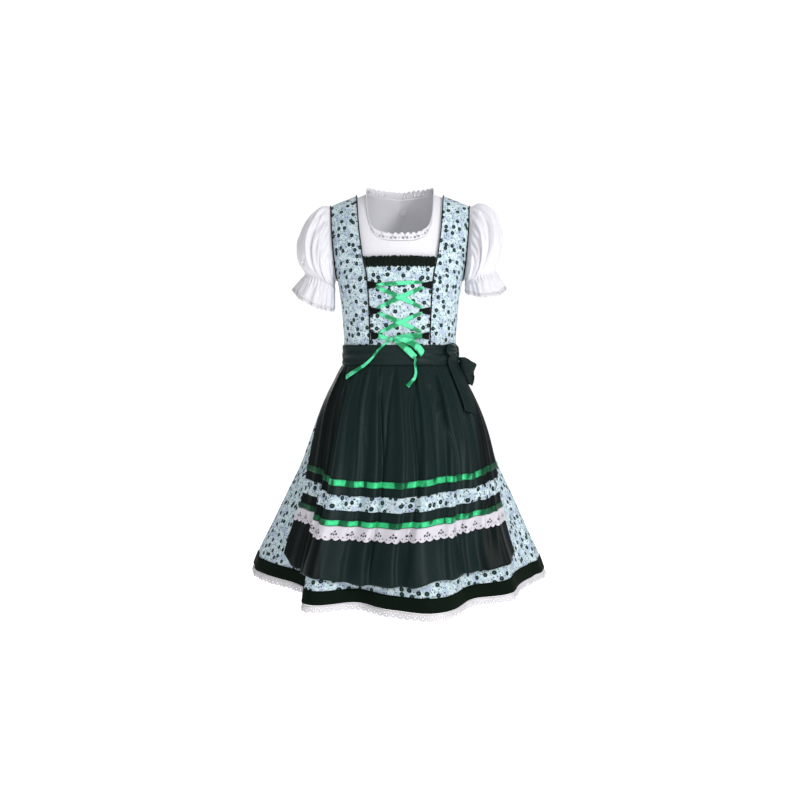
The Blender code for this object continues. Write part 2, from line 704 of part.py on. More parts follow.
def yoke_places(neck, armhole, levels, back, half_columns=11, shoulder_columns=3):
    # A panel from side seam to side seam, with its neckline and both shoulders along its top row.
    # Each half is spread between the centre line, the armhole, the lower edge and the top path.
    top = []
    shoulder_share = shoulder_columns / (half_columns - 1)
    bottom = levels[0]
    neck_places = []
    for row in neck:
        height = row.height
        if row is neck[-1]:
            height = shoulder_height(row.half_width)
        neck_places.append(place_on_body(row.half_width, height))
    neck_places[-1] = (neck_places[-1][0], TOP_LEVEL)
    tip = between(armhole, 2.0) - SEAM_ANGLE

    def top_place(share):
        if share >= 1.0 - shoulder_share:
            part = (share - 1.0 + shoulder_share) / shoulder_share
            return blend(neck_places[-1][0], tip, part), TOP_LEVEL
        part = share / (1.0 - shoulder_share) * (len(neck_places) - 1)
        spot = min(int(part), len(neck_places) - 2)
        a = neck_places[spot]
        b = neck_places[spot + 1]
        return blend(a[0], b[0], part - spot), blend(a[1], b[1], part - spot)

    centre_level = top_place(0.0)[1]
    for edge_level in reversed(levels):
        v = (edge_level - bottom) / (TOP_LEVEL - bottom)
        edge_angle = between(armhole, edge_level) - SEAM_ANGLE
        line = []
        for c in range(half_columns):
            u = c / (half_columns - 1)
            low = ((90.0 - SEAM_ANGLE) * u, bottom)
            high = top_place(u)
            centre = (0.0, blend(bottom, centre_level, v))
            edge = (edge_angle, edge_level)
            corners = [(0.0, bottom), (90.0 - SEAM_ANGLE, bottom), (0.0, centre_level), top_place(1.0)]
            place = []
            for k in (0, 1):
                ruled = (1.0 - u) * centre[k] + u * edge[k] + (1.0 - v) * low[k] + v * high[k]
                flat = (1.0 - v) * ((1.0 - u) * corners[0][k] + u * corners[1][k])
                flat += v * ((1.0 - u) * corners[2][k] + u * corners[3][k])
                place.append(ruled - flat)
            line.append((place[0], min(place[1], TOP_LEVEL)))
        whole = [(-angle, level) for angle, level in reversed(line[1:])] + line
        if back:
            whole = [(180.0 + angle, level) for angle, level in whole]
        top.append(whole)
    return top


def make_bodice():
    for name, side in (("bodice_side_left", 1), ("bodice_side_right", -1)):
        grid, normals = body_grid(side_panel_places(side), 0.0)
        cloth_wall(name, "print", grid, normals)
    grid, normals = body_grid(centre_front_places(), 0.0)
    cloth_wall("bodice_centre_front", "print", grid, normals)
    places = relaxed(yoke_places(BODICE_NECK_BACK, BACK_ARMHOLE, BACK_LEVELS, back=True), rounds=2)
    grid, normals = body_grid(places, 0.0)
    cloth_wall("bodice_back", "print", grid, normals)


def make_front_band(folds=17):
    # The ruched band lies on the top of the centre panel, between the pipings.
    columns = 2 * folds + 1
    rows = []
    for height in FRONT_BAND:
        seam = between(FRONT_SEAM, level_at(between(FRONT_SEAM, FRONT_TOP_LEVEL), height)) - FRONT_BAND_INSET
        angles = [blend(-seam, seam, c / (columns - 1)) for c in range(columns)]
        rows.append([(angle, level_at(angle, height)) for angle in angles])
    inner = 0.5 * CLOTH + SEAM_GAP
    lifts = []
    grid, normals = body_grid(rows, 0.0)
    for c in range(columns):
        lifts.append(inner + 0.5 * CLOTH + (BAND_FOLD if c % 2 else 0.0))
    raised = []
    for row, line in zip(grid, normals):
        raised.append([point + normal * lift for point, normal, lift in zip(row, line, lifts)])
    cloth_wall("front_band", "front_band", raised, normals)


def make_pipings():
    lift = 0.5 * CLOTH + SEAM_GAP + PIPING_RADIUS
    front_levels = (BAND_LEVEL, 0.33, 0.67, 1.0, 1.08, 1.155, 1.27, 1.41, 1.56, 1.70, 1.83, 1.93, 2.0)
    for name, side in (("neckline_piping_left", 1), ("neckline_piping_right", -1)):
        places = [(side * between(FRONT_SEAM, level), level) for level in front_levels]
        neck = [place_on_body(row.half_width, row.height) for row in reversed(BODICE_NECK_BACK[:-1])]
        neck[-1] = (SEAM_ANGLE, neck[-1][1])
        first = neck[0]
        shoulder = between(FRONT_SEAM, 2.0)
        for share in (0.18, 0.42, 0.70):
            places.append((side * (180.0 - blend(shoulder, first[0], share)), blend(2.0, first[1], share)))
        places += [(side * (180.0 - angle), level - 0.004) for angle, level in neck]
        path = [body_point(angle, level, lift) for angle, level in places]
        normals = [body_normal(angle, level, lift) for angle, level in places]
        tube(name, "piping", path, normals, PIPING_RADIUS)
    for name, side in (("armhole_piping_left", 1), ("armhole_piping_right", -1)):
        path, normals = armhole_loop(side, lift, ARMHOLE_POINTS, PIPING_INSET)
        tube(name, "piping", path, normals, PIPING_RADIUS, closed=True)


def armhole_loop(side, lift, count, outward):
    # The closed edge of an armhole from the shoulder tip down the front and up the back, moved
    # across the surface: a positive distance goes off the panel's edge, into the armhole.
    places = []
    half = count // 2
    for i in range(count):
        part = i / half if i <= half else (count - i) / half
        level = 2.0 - smooth_step(part) * 0.35 - part * 0.65
        if i <= half:
            places.append((side * between(FRONT_ARMHOLE, level), level))
        else:
            places.append((side * (180.0 - between(BACK_ARMHOLE, level)), level))
    path = [body_point(angle, level, lift) for angle, level in places]
    normals = [body_normal(angle, level, lift) for angle, level in places]
    centre = sum(path, Vector()) / count
    shifted = []
    for i in range(count):
        along = (path[(i + 1) % count] - path[i - 1]).normalized()
        across = along.cross(normals[i]).normalized()
        if across.dot(centre - path[i]) < 0.0:
            across = -across
        shifted.append(path[i] + across * outward)
    return shifted, normals


# Blouse

def widened(edge):
    # The blouse reaches a little further into the armhole than the bodice does.
    wider = []
    for row in edge:
        level = row.level + 0.005 if row.level >= 1.0 else row.level
        wider.append(EdgeRow(level, min(row.angle + 0.2, 90.0)))
    return wider


def blouse_grid(back):
    neck = BLOUSE_NECK_BACK if back else BLOUSE_NECK_FRONT
    armhole = widened(BACK_ARMHOLE if back else FRONT_ARMHOLE)
    return body_grid(yoke_places(neck, armhole, BLOUSE_LEVELS, back), BLOUSE_LIFT)


def along_path(points, share):
    # A point of a polyline, by its share of the whole length, with its place in the list
    lengths = [(b - a).length for a, b in zip(points, points[1:])]
    target = share * sum(lengths)
    for i, length in enumerate(lengths):
        if target <= length or i == len(lengths) - 1:
            part = min(target / length, 1.0)
            return points[i].lerp(points[i + 1], part), i, part
        target -= length


def on_cell(grid, row, column, part, down):
    # A point of one cell of a grid, on the two triangles that the wall splits it into
    column += math.floor(part)
    part -= math.floor(part)
    a = grid[row][column]
    b = grid[row][column + 1]
    d = grid[row + 1][column]
    e = grid[row + 1][column + 1]
    if part >= down:
        return a + (b - a) * part + (e - b) * down
    return a + (d - a) * down + (e - d) * part


def neck_loop(front, back, front_normals, back_normals, shoulder_columns=3):
    # The edge of the blouse's neck, round from one shoulder over the front and back again
    keep = slice(shoulder_columns, len(front[0]) - shoulder_columns)
    points = front[0][keep] + back[0][keep][1:-1]
    normals = front_normals[0][keep] + back_normals[0][keep][1:-1]
    return points, normals


def make_blouse():
    front, front_normals = blouse_grid(back=False)
    cloth_wall("blouse_front", "cotton", front, front_normals)
    back, back_normals = blouse_grid(back=True)
    cloth_wall("blouse_back", "cotton", back, back_normals)
    points, normals = neck_loop(front, back, front_normals, back_normals)
    points = points + points[:1]
    normals = normals + normals[:1]
    count = 2 * round(sum((b - a).length for a, b in zip(points, points[1:])) / NECK_SCALLOP_PITCH)
    low = []
    high = []
    for i in range(count):
        point, spot, part = along_path(points, i / count)
        normal = normals[spot].lerp(normals[spot + 1], part).normalized()
        along = (points[spot + 1] - points[spot]).normalized()
        across = along.cross(normal)
        if across.z < -0.2 or (abs(across.z) <= 0.2 and across.x * point.x > 0.0):
            across = -across
        stand = (across * 0.55 + Vector((0.0, 0.0, 0.85))).normalized()
        reach = NECK_LACE_HEIGHT if i % 2 else NECK_LACE_HEIGHT - NECK_SCALLOP_DEPTH
        low.append(point + across * LACE_GAP + stand * 0.0002)
        high.append(point + across * LACE_GAP + stand * reach)
    grid = [high, low]
    cloth_wall("neck_lace", "lace", grid, grid_normals(grid, ring=True), ring=True)
    middle = len(back[0]) // 2
    label = []
    label_normals = []
    for down in LABEL_ROWS:
        label.append([on_cell(back, LABEL_CELL_ROW, middle, part, down) for part in LABEL_PARTS])
        label_normals.append([back_normals[LABEL_CELL_ROW][middle] for part in LABEL_PARTS])
    inner = -0.5 * CLOTH - LACE_GAP
    cloth_wall("neck_label", "cotton", label, label_normals, inner - CLOTH, inner)


# Sleeves

def sleeve_grid(side, table):
    count = SLEEVE_COLUMNS
    inner, _ = armhole_loop(side, SLEEVE_INNER_LIFT, count, SLEEVE_CLEAR)
    outer, _ = armhole_loop(side, SLEEVE_OUTER_LIFT, count, SLEEVE_CLEAR)
    grid = [inner, outer]
    first = None
    for row_index, row in enumerate(table):
        top = Vector((row.outer_x * side, 0.0, row.outer_z))
        under = Vector((row.inner_x * side, 0.0, row.inner_z))
        centre = (top + under) / 2.0
        reach = (top - under) / 2.0
        ring = []
        spread = max(row_index - PINCH_ROW, 0) / (len(table) - 1 - PINCH_ROW)
        for i in range(count):
            turn = 2.0 * math.pi * i / count
            wave = 1.0 + RUFFLE_SPREAD * spread * math.cos(RUFFLE_WAVES * turn)
            point = centre + reach * math.cos(turn)
            point.y -= row.half_depth * math.sin(turn)
            point.z -= row.droop * max(math.sin(turn), 0.0)
            point = centre + (point - centre) * wave
            if abs(point.x) < row.inner_x and abs(point.y) < UNDERARM_REACH:
                point.x = row.inner_x * side
            ring.append(point)
        if first is None:
            first = ring
            continue
        hold = row.hold
        grid.append([point + (loop - start) * hold for point, loop, start in zip(ring, outer, first)])
    return grid


def make_sleeves():
    for name, side, table in (("left", 1, SLEEVE_LEFT), ("right", -1, SLEEVE_RIGHT)):
        grid = sleeve_grid(side, table)
        sleeve = grid[:RUFFLE_END_ROW + 2]
        cloth_wall("sleeve_" + name, "cotton", sleeve, grid_normals(sleeve, ring=True), ring=True)
        start = grid[RUFFLE_END_ROW + 1]
        end = grid[RUFFLE_END_ROW + 2]
        low = []
        high = []
        for i, (a, b) in enumerate(zip(start, end)):
            along = (b - a).normalized()
            high.append(a + along * LACE_GAP)
            low.append(b + along * (CUFF_SCALLOP if i % 2 else -CUFF_SCALLOP))
        lace = [high, low]
        cloth_wall("cuff_lace_" + name, "lace", lace, grid_normals(lace, ring=True), ring=True)


# Skirt

def fold_shape(angle, row, down):
    away = wrap(angle - row.angle + row.lean * (1.0 - min(max(down, 0.0), 1.0)))
    width = row.before if away < 0.0 else row.after
    if abs(away) >= width:
        return 0.0
    return 0.5 * (1.0 + math.cos(math.pi * away / width))


def draped_point(angle, height, lift=0.0, follow=1.0):
    # A point of the skirt at an angle and a height; an inward fold can be followed in part.
    turn = math.radians(angle)
    half_width = table_value(SKIRT, "height", "half_width", height)
    half_depth = table_value(SKIRT, "height", "half_depth", height)
    hem = table_value(HEM, "angle", "height", wrap(angle))
    down = (SKIRT_TOP - height) / (SKIRT_TOP - hem)
    outward = Vector((math.sin(turn) / half_width, -math.cos(turn) / half_depth, 0.0)).normalized()
    offset = lift
    for row in SKIRT_FOLDS:
        shape = fold_shape(angle, row, down)
        if shape > 0.0 and down > row.top:
            grown = min((down - row.top) / (1.0 - row.top), 1.0) ** 1.25
            share = follow if row.depth < 0.0 else 1.0
            offset += row.depth * shape * grown * share
    gathered = smooth_step(down / 0.10 - 0.4) * (1.0 - smooth_step((down - 0.14) / 0.45))
    wave = 0.65 * math.cos(GATHER_WAVES * turn + 1.2 * math.sin(3.0 * turn))
    wave += 0.35 * math.cos(17.0 * turn + 0.8)
    offset += GATHER_HEIGHT * gathered * wave * follow
    base = Vector((half_width * math.sin(turn), -half_depth * math.cos(turn), height))
    return base + outward * offset


SKIRT_COLUMNS = 37
SKIRT_ROWS = (0.0, 0.045, 0.130, 0.300, 0.540, 0.780)


def skirt_grid(first_angle):
    # Half of the skirt, from one side seam to the other, with two rows at the hem band's edges
    grid = []
    heights = list(SKIRT_ROWS) + ["band_top", "hem", "lace_top", "lace_end"]
    for row in heights:
        line = []
        for c in range(SKIRT_COLUMNS + 1):
            angle = first_angle + 180.0 * c / SKIRT_COLUMNS
            hem = table_value(HEM, "angle", "height", wrap(angle))
            if row == "band_top":
                height = hem + HEM_BAND_HEIGHT
            elif row == "hem":
                height = hem
            elif row == "lace_top":
                height = hem - LACE_GAP
            elif row == "lace_end":
                height = hem - HEM_LACE_HEIGHT
            else:
                height = blend(SKIRT_TOP, hem + HEM_BAND_HEIGHT, row)
            point = draped_point(angle, height)
            if c in (0, SKIRT_COLUMNS):
                tangent = draped_point(angle + 0.1, height) - draped_point(angle - 0.1, height)
                shift = tangent.normalized() * 0.5 * SEAM_GAP
                point = point + shift if c == 0 else point - shift
            line.append(point)
        grid.append(line)
    return grid


def resampled(row, position):
    # A point of a row of points, by a position that counts its columns
    spot = min(int(position), len(row) - 2)
    return row[spot].lerp(row[spot + 1], position - spot)


def scalloped(upper, lower, normals_upper, normals_lower, scallops, shortest, creased=False):
    # A strip of lace between two rows of points, with a lower edge of scallops. A creased strip
    # also keeps every column of the two rows.
    last = len(upper) - 1
    positions = {last * i / (2 * scallops) for i in range(2 * scallops + 1)}
    if creased:
        positions.update(range(last + 1))
    grid = [[], []]
    normals = [[], []]
    for position in sorted(positions):
        high = resampled(upper, position)
        low = resampled(lower, position)
        wave = abs((position * scallops / last) % 1.0 - 0.5) * 2.0
        reach = blend(1.0, shortest, wave)
        grid[0].append(high)
        grid[1].append(high.lerp(low, reach))
        high_normal = resampled(normals_upper, position).normalized()
        low_normal = resampled(normals_lower, position).normalized()
        normals[0].append(high_normal)
        normals[1].append(high_normal.lerp(low_normal, reach).normalized())
    return grid, normals


def make_skirt():
    for name, first_angle in (("front", -90.0), ("back", 90.0)):
        grid = skirt_grid(first_angle)
        normals = grid_normals(grid)
        cloth_rows = len(SKIRT_ROWS) + 2
        cloth_wall("skirt_" + name, "print", grid[:cloth_rows], normals[:cloth_rows])
        inner = 0.5 * CLOTH + SEAM_GAP
        band = slice(cloth_rows - 2, cloth_rows)
        cloth_wall("hem_band_" + name, "hem_band", grid[band], normals[band], inner, inner + CLOTH)
        girth = sum((b - a).length for a, b in zip(grid[-1], grid[-1][1:]))
        scallops = round(girth / SCALLOP_PITCH)
        lace, lace_normals = scalloped(
            grid[-2], grid[-1], normals[-2], normals[-1], scallops, 1.0 - SCALLOP_DEPTH / HEM_LACE_HEIGHT
        )
        cloth_wall("hem_lace_" + name, "lace", lace, lace_normals)


# Apron

def tuck_lift(across, down):
    lift = 0.0
    for row in APRON_TUCKS:
        height = blend(row.waist_height, row.hem_height, down)
        width = blend(row.waist_width, row.hem_width, down)
        away = abs(across - row.across) / width
        if away < 1.0:
            lift += height * 0.5 * (1.0 + math.cos(math.pi * away))
    return lift


def apron_point(across, height):
    # across runs from the wearer's right edge (0) to the left edge (1).
    hem = table_value(APRON_HEM, "across", "height", across)
    down = (APRON_TOP - height) / (APRON_TOP - hem)
    right = table_value(APRON_EDGES, "down", "right_edge", down)
    left = table_value(APRON_EDGES, "down", "left_edge", down)
    lift = blend(APRON_NEAR, APRON_FAR, smooth_step(down * 1.4))
    lift += tuck_lift(across, down) * smooth_step(down * 14.0)
    return draped_point(blend(right, left, across), height, lift, APRON_FOLLOWS)


APRON_UPPER_ROWS = (0.0, 0.06, 0.15, 0.30, 0.50, 0.75)
APRON_TRIM_ROWS = (*UPPER_RIBBON, *PRINT_BAND, *LOWER_RIBBON, APRON_LACE[1])


def apron_columns():
    columns = {0.0, 1.0}
    for row in APRON_TUCKS:
        columns.update((row.across - row.waist_width, row.across, row.across + row.waist_width))
    return sorted(columns)


def apron_grid():
    grid = []
    columns = apron_columns()
    for share in APRON_UPPER_ROWS:
        line = []
        for across in columns:
            start = table_value(APRON_LINE, "across", "height", across) + UPPER_RIBBON[0]
            line.append(apron_point(across, blend(APRON_TOP, start, share)))
        grid.append(line)
    for above in APRON_TRIM_ROWS:
        line = []
        for across in columns:
            line.append(apron_point(across, table_value(APRON_LINE, "across", "height", across) + above))
        grid.append(line)
    line = []
    for across in columns:
        line.append(apron_point(across, table_value(APRON_HEM, "across", "height", across)))
    grid.append(line)
    return grid


def make_apron():
    grid = apron_grid()
    normals = grid_normals(grid)
    cloth_wall("apron", "taffeta", grid, normals)
    inner = 0.5 * CLOTH + SEAM_GAP
    trims = (
        ("apron_ribbon_upper", "metallic_ribbon", UPPER_RIBBON),
        ("apron_print_band", "print", PRINT_BAND),
        ("apron_ribbon_lower", "metallic_ribbon", LOWER_RIBBON),
    )
    for name, cloth, edges in trims:
        first = len(APRON_UPPER_ROWS) + APRON_TRIM_ROWS.index(edges[0])
        rows = slice(first, first + 2)
        cloth_wall(name, cloth, grid[rows], normals[rows], inner, inner + CLOTH)
    first = len(APRON_UPPER_ROWS) + APRON_TRIM_ROWS.index(APRON_LACE[0])
    upper = [a.lerp(b, 0.03) for a, b in zip(grid[first], grid[first + 1])]
    girth = sum((b - a).length for a, b in zip(grid[first], grid[first][1:]))
    depth = 1.0 - SCALLOP_DEPTH / (APRON_LACE[0] - APRON_LACE[1])
    scallops = round(girth / SCALLOP_PITCH)
    lace, lace_normals = scalloped(
        upper, grid[first + 1], normals[first], normals[first + 1], scallops, depth, creased=True
    )
    inner += 2.0 * LACE_GAP
    cloth_wall("apron_lace", "lace", lace, lace_normals, inner, inner + CLOTH)


def make_waistband(columns=26):
    heights = (WAISTBAND_TOP, WAISTBAND_BOTTOM)
    for name, first_angle in (("apron_waistband", -90.0), ("apron_tie_back", 90.0)):
        rows = []
        for height in heights:
            level = level_of_height(height)
            line = []
            for c in range(columns + 1):
                angle = first_angle + blend(SEAM_ANGLE, 180.0 - SEAM_ANGLE, c / columns)
                line.append((angle, level))
            rows.append(line)
        grid, normals = body_grid(rows, WAISTBAND_LIFT)
        cloth_wall(name, "taffeta", grid, normals)


# Lacing, bow and ties

def outward_at(angle):
    turn = math.radians(angle)
    waist = BODY[1]
    return Vector((waist.half_width * math.sin(turn), -waist.front_depth * math.cos(turn), 0.0)).normalized()


def outermost(names):
    # A search tree of the outer faces of what has been built, to lay the next piece on them
    vertices = []
    faces = []
    for name in names:
        start = len(vertices)
        vertices += built[name][0]
        faces += [tuple(start + corner for corner in face) for face in built[name][1]]
    return BVHTree.FromPolygons(vertices, faces)


def surface_radius(tree, direction, height):
    far = direction * 1.0
    hit = tree.ray_cast(Vector((far.x, far.y, height)), -direction)
    if hit[0] is None:
        return None
    return math.hypot(hit[0].x, hit[0].y)


def plain_radius(direction, height):
    # Distance from the axis to the body or the skirt without its folds
    rows, depth_column = (BODY, "front_depth") if height > SKIRT_TOP else (SKIRT, "half_depth")
    half_width = table_value(rows, "height", "half_width", height)
    half_depth = table_value(rows, "height", depth_column, height)
    return 1.0 / math.hypot(direction.x / half_width, direction.y / half_depth)


def lift_needed(tree, point, reach):
    # How far all that lies within reach of a point stands out from the plain shape of the body
    flat = Vector((point.x, point.y, 0.0))
    side = Vector((-point.y, point.x, 0.0)).normalized()
    highest = 0.0
    steps = (-reach, -0.5 * reach, 0.0, 0.5 * reach, reach)
    for shift, rise in [(a, b) for a in steps for b in steps]:
        probe = (flat + side * shift).normalized()
        height = point.z + rise
        radius = surface_radius(tree, probe, height)
        if radius is not None:
            highest = max(highest, radius - plain_radius(probe, height))
    return highest


def stood_off(point, lift):
    # The place at a distance outside the plain shape of the body, in the direction of a point
    direction = Vector((point.x, point.y, 0.0)).normalized()
    radius = plain_radius(direction, point.z) + lift
    return Vector((direction.x * radius, direction.y * radius, point.z))


def ribbon_grid(rows, beneath, steps, fixed_across=False):
    # A strip laid over other pieces: its centre line runs through the rows of a table.
    tree = outermost(beneath)
    lift = 0.5 * RIBBON + SEAM_GAP
    centres = []
    for i in range(steps + 1):
        position = (len(rows) - 1) * i / steps
        spot = min(int(position), len(rows) - 2)
        part = position - spot
        a = rows[spot]
        b = rows[spot + 1]
        angle = blend(a.angle, b.angle, part)
        height = blend(a.height, b.height, part)
        width = blend(a.width, b.width, part)
        rise = blend(a.rise, b.rise, part)
        direction = outward_at(angle)
        point = stood_off(Vector((direction.x, direction.y, height)), rise)
        centres.append((point, direction, width, rise))
    farthest = max(centres, key=lambda row: (row[0] - centres[0][0]).length)
    grid = []
    for i, (point, direction, width, rise) in enumerate(centres):
        along = centres[min(i + 1, steps)][0] - centres[max(i - 1, 0)][0]
        if fixed_across:
            along = farthest[0] - centres[0][0]
        across = direction.cross(along).normalized()
        line = [point + across * width * share for share in (-0.5, 0.0, 0.5)]
        highest = max(lift_needed(tree, spot, RIBBON_REACH) for spot in line)
        grid.append([stood_off(spot, lift + rise + highest) for spot in line])
    return grid


def make_ribbon(name, cloth, rows, beneath, steps, fixed_across=False):
    grid = ribbon_grid(rows, beneath, steps, fixed_across)
    cloth_wall(name, cloth, grid, grid_normals(grid), -0.5 * RIBBON, 0.5 * RIBBON)


def make_lacing():
    for side, word in ((1, "left"), (-1, "right")):
        for number, height in enumerate(LOOP_HEIGHTS, start=1):
            rows = []
            for share in (0.5, 0.0, -0.5):
                line = []
                for part in (0.0, 0.5, 1.0):
                    angle = blend(LOOP_ANGLES[0], LOOP_ANGLES[1], part) * side
                    tall = blend(LOOP_BASE, LOOP_TIP, part)
                    line.append((angle, level_of_height(height + share * tall)))
                rows.append(line)
            grid, normals = body_grid(rows, 0.0)
            inner = 0.5 * CLOTH + LOOP_GAP
            cloth_wall(f"lacing_loop_{word}_{number}", "piping", grid, normals, inner, inner + CLOTH)
    beneath = ["bodice_centre_front", "bodice_side_left", "bodice_side_right"]
    beneath += [f"lacing_loop_{word}_{number}" for word in ("left", "right") for number in (1, 2, 3)]
    for row in LACING:
        rows = []
        for share in (0.0, 0.08, 0.20, 0.32, 0.44, 0.56, 0.68, 0.80, 0.92, 1.0):
            angle = blend(-LACING_ANGLE, LACING_ANGLE, share)
            height = blend(row.right_height, row.left_height, share)
            width = LACING_WIDTH * (0.55 if share in (0.0, 1.0) else 1.0)
            rows.append(RibbonRow(angle, height, width, 0.0))
        make_ribbon(row.name, "satin", rows, beneath, len(rows) - 1)
        beneath.append(row.name)
    make_knot(KNOTS[0], beneath)
    make_ribbon("lacing_end_right", "satin", LACING_END_RIGHT, beneath, 4)
    make_ribbon("lacing_end_left", "satin", LACING_END_LEFT, beneath, 6)
    beneath += ["lacing_end_right", "lacing_end_left", "apron_waistband", "apron"]
    make_ribbon("bow_loop_lower", "satin", BOW_LOOP_LOWER, beneath, 10, fixed_across=True)
    make_ribbon("bow_tail_left", "satin", BOW_TAIL_LEFT, beneath + ["bow_loop_lower"], 8)
    beneath.append("bow_loop_lower")
    make_ribbon("bow_loop_upper", "satin", BOW_LOOP_UPPER, beneath, 10, fixed_across=True)
    make_ribbon("bow_tail_right", "satin", BOW_TAIL_RIGHT, beneath, 12)


def make_knot(row, beneath):
    tree = outermost(beneath)
    direction = outward_at(row.angle)
    start = stood_off(Vector((direction.x, direction.y, row.height)), 0.0)
    seat = stood_off(start, row.rise + lift_needed(tree, start, RIBBON_REACH))
    side = Vector((-direction.y, direction.x, 0.0))
    shape = bmesh.new()
    bmesh.ops.create_icosphere(shape, subdivisions=row.subdivisions, radius=1.0)
    vertices = []
    for vertex in shape.verts:
        p = vertex.co
        vertices.append(
            seat + direction * p.y * row.deep + side * p.x * row.across + Vector((0.0, 0.0, p.z * row.tall))
        )
    faces = [tuple(v.index for v in face.verts) for face in shape.faces]
    shape.free()
    make_object(row.name, vertices, faces, "satin" if row is KNOTS[0] else "taffeta")


def make_tie_loop(beneath):
    tree = outermost(beneath)
    grid = []
    for row in TIE_LOOP:
        seats = []
        for angle in (row.angle - row.spread, row.angle + row.spread):
            direction = outward_at(angle)
            start = stood_off(Vector((direction.x, direction.y, row.height)), 0.0)
            seats.append(lift_needed(tree, start, 0.5 * RIBBON_REACH))
        line = []
        for column in range(TIE_LOOP_COLUMNS + 1):
            part = 2.0 * column / TIE_LOOP_COLUMNS - 1.0
            bulge = (1.0 - abs(part) ** TIE_LOOP_ROUNDING) ** 0.5
            reach = blend(row.inner, row.outer, bulge) + RIBBON
            seat = blend(seats[0], seats[1], 0.5 + 0.5 * part)
            direction = outward_at(row.angle + row.spread * part)
            line.append(stood_off(Vector((direction.x, direction.y, row.height)), seat + reach))
        grid.append(line)
    cloth_wall("tie_loop", "taffeta", grid, grid_normals(grid), -0.5 * RIBBON, 0.5 * RIBBON)


def make_ties():
    beneath = ["apron_waistband", "apron_tie_back", "apron", "skirt_front", "skirt_back"]
    make_knot(KNOTS[1], beneath)
    make_ribbon("apron_tie_front", "taffeta", APRON_TIE_FRONT, beneath, 6)
    make_ribbon("tie_tail", "taffeta", TIE_TAIL, beneath, 8)
    make_tie_loop(beneath + ["apron_tie_front", "tie_tail"])


def main():
    for thing in list(bpy.data.objects):
        bpy.data.objects.remove(thing)
    make_blouse()
    make_sleeves()
    make_bodice()
    make_front_band()
    make_pipings()
    make_skirt()
    make_apron()
    make_waistband()
    make_lacing()
    make_ties()


main()
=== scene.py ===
# Looks of a child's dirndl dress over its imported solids: cloth, lace, ribbons, light and camera.
# Metres, +Z up, the front faces -Y and the wearer's left is +X. Angles are degrees round the body:
# 0 is the front, 90 the wearer's left, 180 the back.

import bisect
import math

import bmesh
import bpy
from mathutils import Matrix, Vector, noise
from mathutils.bvhtree import BVHTree


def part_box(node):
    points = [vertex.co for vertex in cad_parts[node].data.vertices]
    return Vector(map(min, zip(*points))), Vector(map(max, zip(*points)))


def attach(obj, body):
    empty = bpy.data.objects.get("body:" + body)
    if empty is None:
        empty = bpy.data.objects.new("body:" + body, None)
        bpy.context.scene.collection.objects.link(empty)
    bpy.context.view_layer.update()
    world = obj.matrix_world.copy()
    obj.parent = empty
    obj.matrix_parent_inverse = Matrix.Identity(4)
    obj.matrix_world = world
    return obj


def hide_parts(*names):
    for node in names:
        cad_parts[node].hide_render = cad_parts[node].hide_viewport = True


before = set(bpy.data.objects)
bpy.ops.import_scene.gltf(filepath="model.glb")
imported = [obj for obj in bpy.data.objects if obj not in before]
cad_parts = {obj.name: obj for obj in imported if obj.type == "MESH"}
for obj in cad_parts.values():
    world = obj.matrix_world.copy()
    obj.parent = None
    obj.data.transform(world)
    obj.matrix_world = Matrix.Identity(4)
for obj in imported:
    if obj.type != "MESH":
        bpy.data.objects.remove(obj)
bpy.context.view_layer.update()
print("frame loaded")


# Small helpers

def mix(a, b, share):
    return a + (b - a) * share


def clamped(value, low=0.0, high=1.0):
    return min(max(value, low), high)


def smoothStep(value):
    value = clamped(value)
    return value * value * (3.0 - 2.0 * value)


def wrapped(angle):
    return (angle + 180.0) % 360.0 - 180.0


def bump(away, width):
    # a rounded hill of height 1, zero beyond its width
    return 0.5 * (1.0 + math.cos(math.pi * away / width)) if abs(away) < width else 0.0


def turns(value):
    # a wave from 1 to -1 that comes back at each whole number
    return math.cos(math.tau * value)


def scallop(u, count, power=0.7):
    # 0 between the scallops of an edge and 1 in their middles
    return abs(math.sin(math.pi * count * u)) ** power


def softNoise(x, y, z=0.0):
    return noise.noise(Vector((x, y, z)))


def middleSlope(before, after):
    return 0.0 if before * after <= 0.0 else 2.0 * before * after / (before + after)


def eased(a, b, slopeA, slopeB, t, width=1.0):
    # a value on the way from a to b, with the slopes at both ends
    t2 = t * t
    t3 = t2 * t
    value = (2.0 * t3 - 3.0 * t2 + 1.0) * a + (3.0 * t2 - 2.0 * t3) * b
    return value + width * ((t3 - 2.0 * t2 + t) * slopeA + (t3 - t2) * slopeB)


def rounded(p0, p1, p2, p3, t):
    # a place on the rounded path from p1 to p2, between their neighbours
    bend = 2 * p0 - 5 * p1 + 4 * p2 - p3
    return 0.5 * ((2 * p1) + (p2 - p0) * t + bend * t * t + (3 * p1 - p0 - 3 * p2 + p3) * t ** 3)


def curveThrough(rows):
    # a reader of smooth curves through the columns of a table, without overshoot
    rows = sorted(rows)
    keys = [row[0] for row in rows]
    last = len(keys) - 1
    slopes = []
    for column in range(len(rows[0])):
        steps = [(rows[i + 1][column] - rows[i][column]) / (keys[i + 1] - keys[i]) for i in range(last)]
        middle = [middleSlope(before, after) for before, after in zip(steps, steps[1:])]
        slopes.append([steps[0]] + middle + [steps[-1]])

    def read(at, column=1):
        at = clamped(at, keys[0], keys[-1])
        i = clamped(bisect.bisect_right(keys, at) - 1, 0, last - 1)
        width = keys[i + 1] - keys[i]
        line = slopes[column]
        t = (at - keys[i]) / width
        return eased(rows[i][column], rows[i + 1][column], line[i], line[i + 1], t, width)

    return read


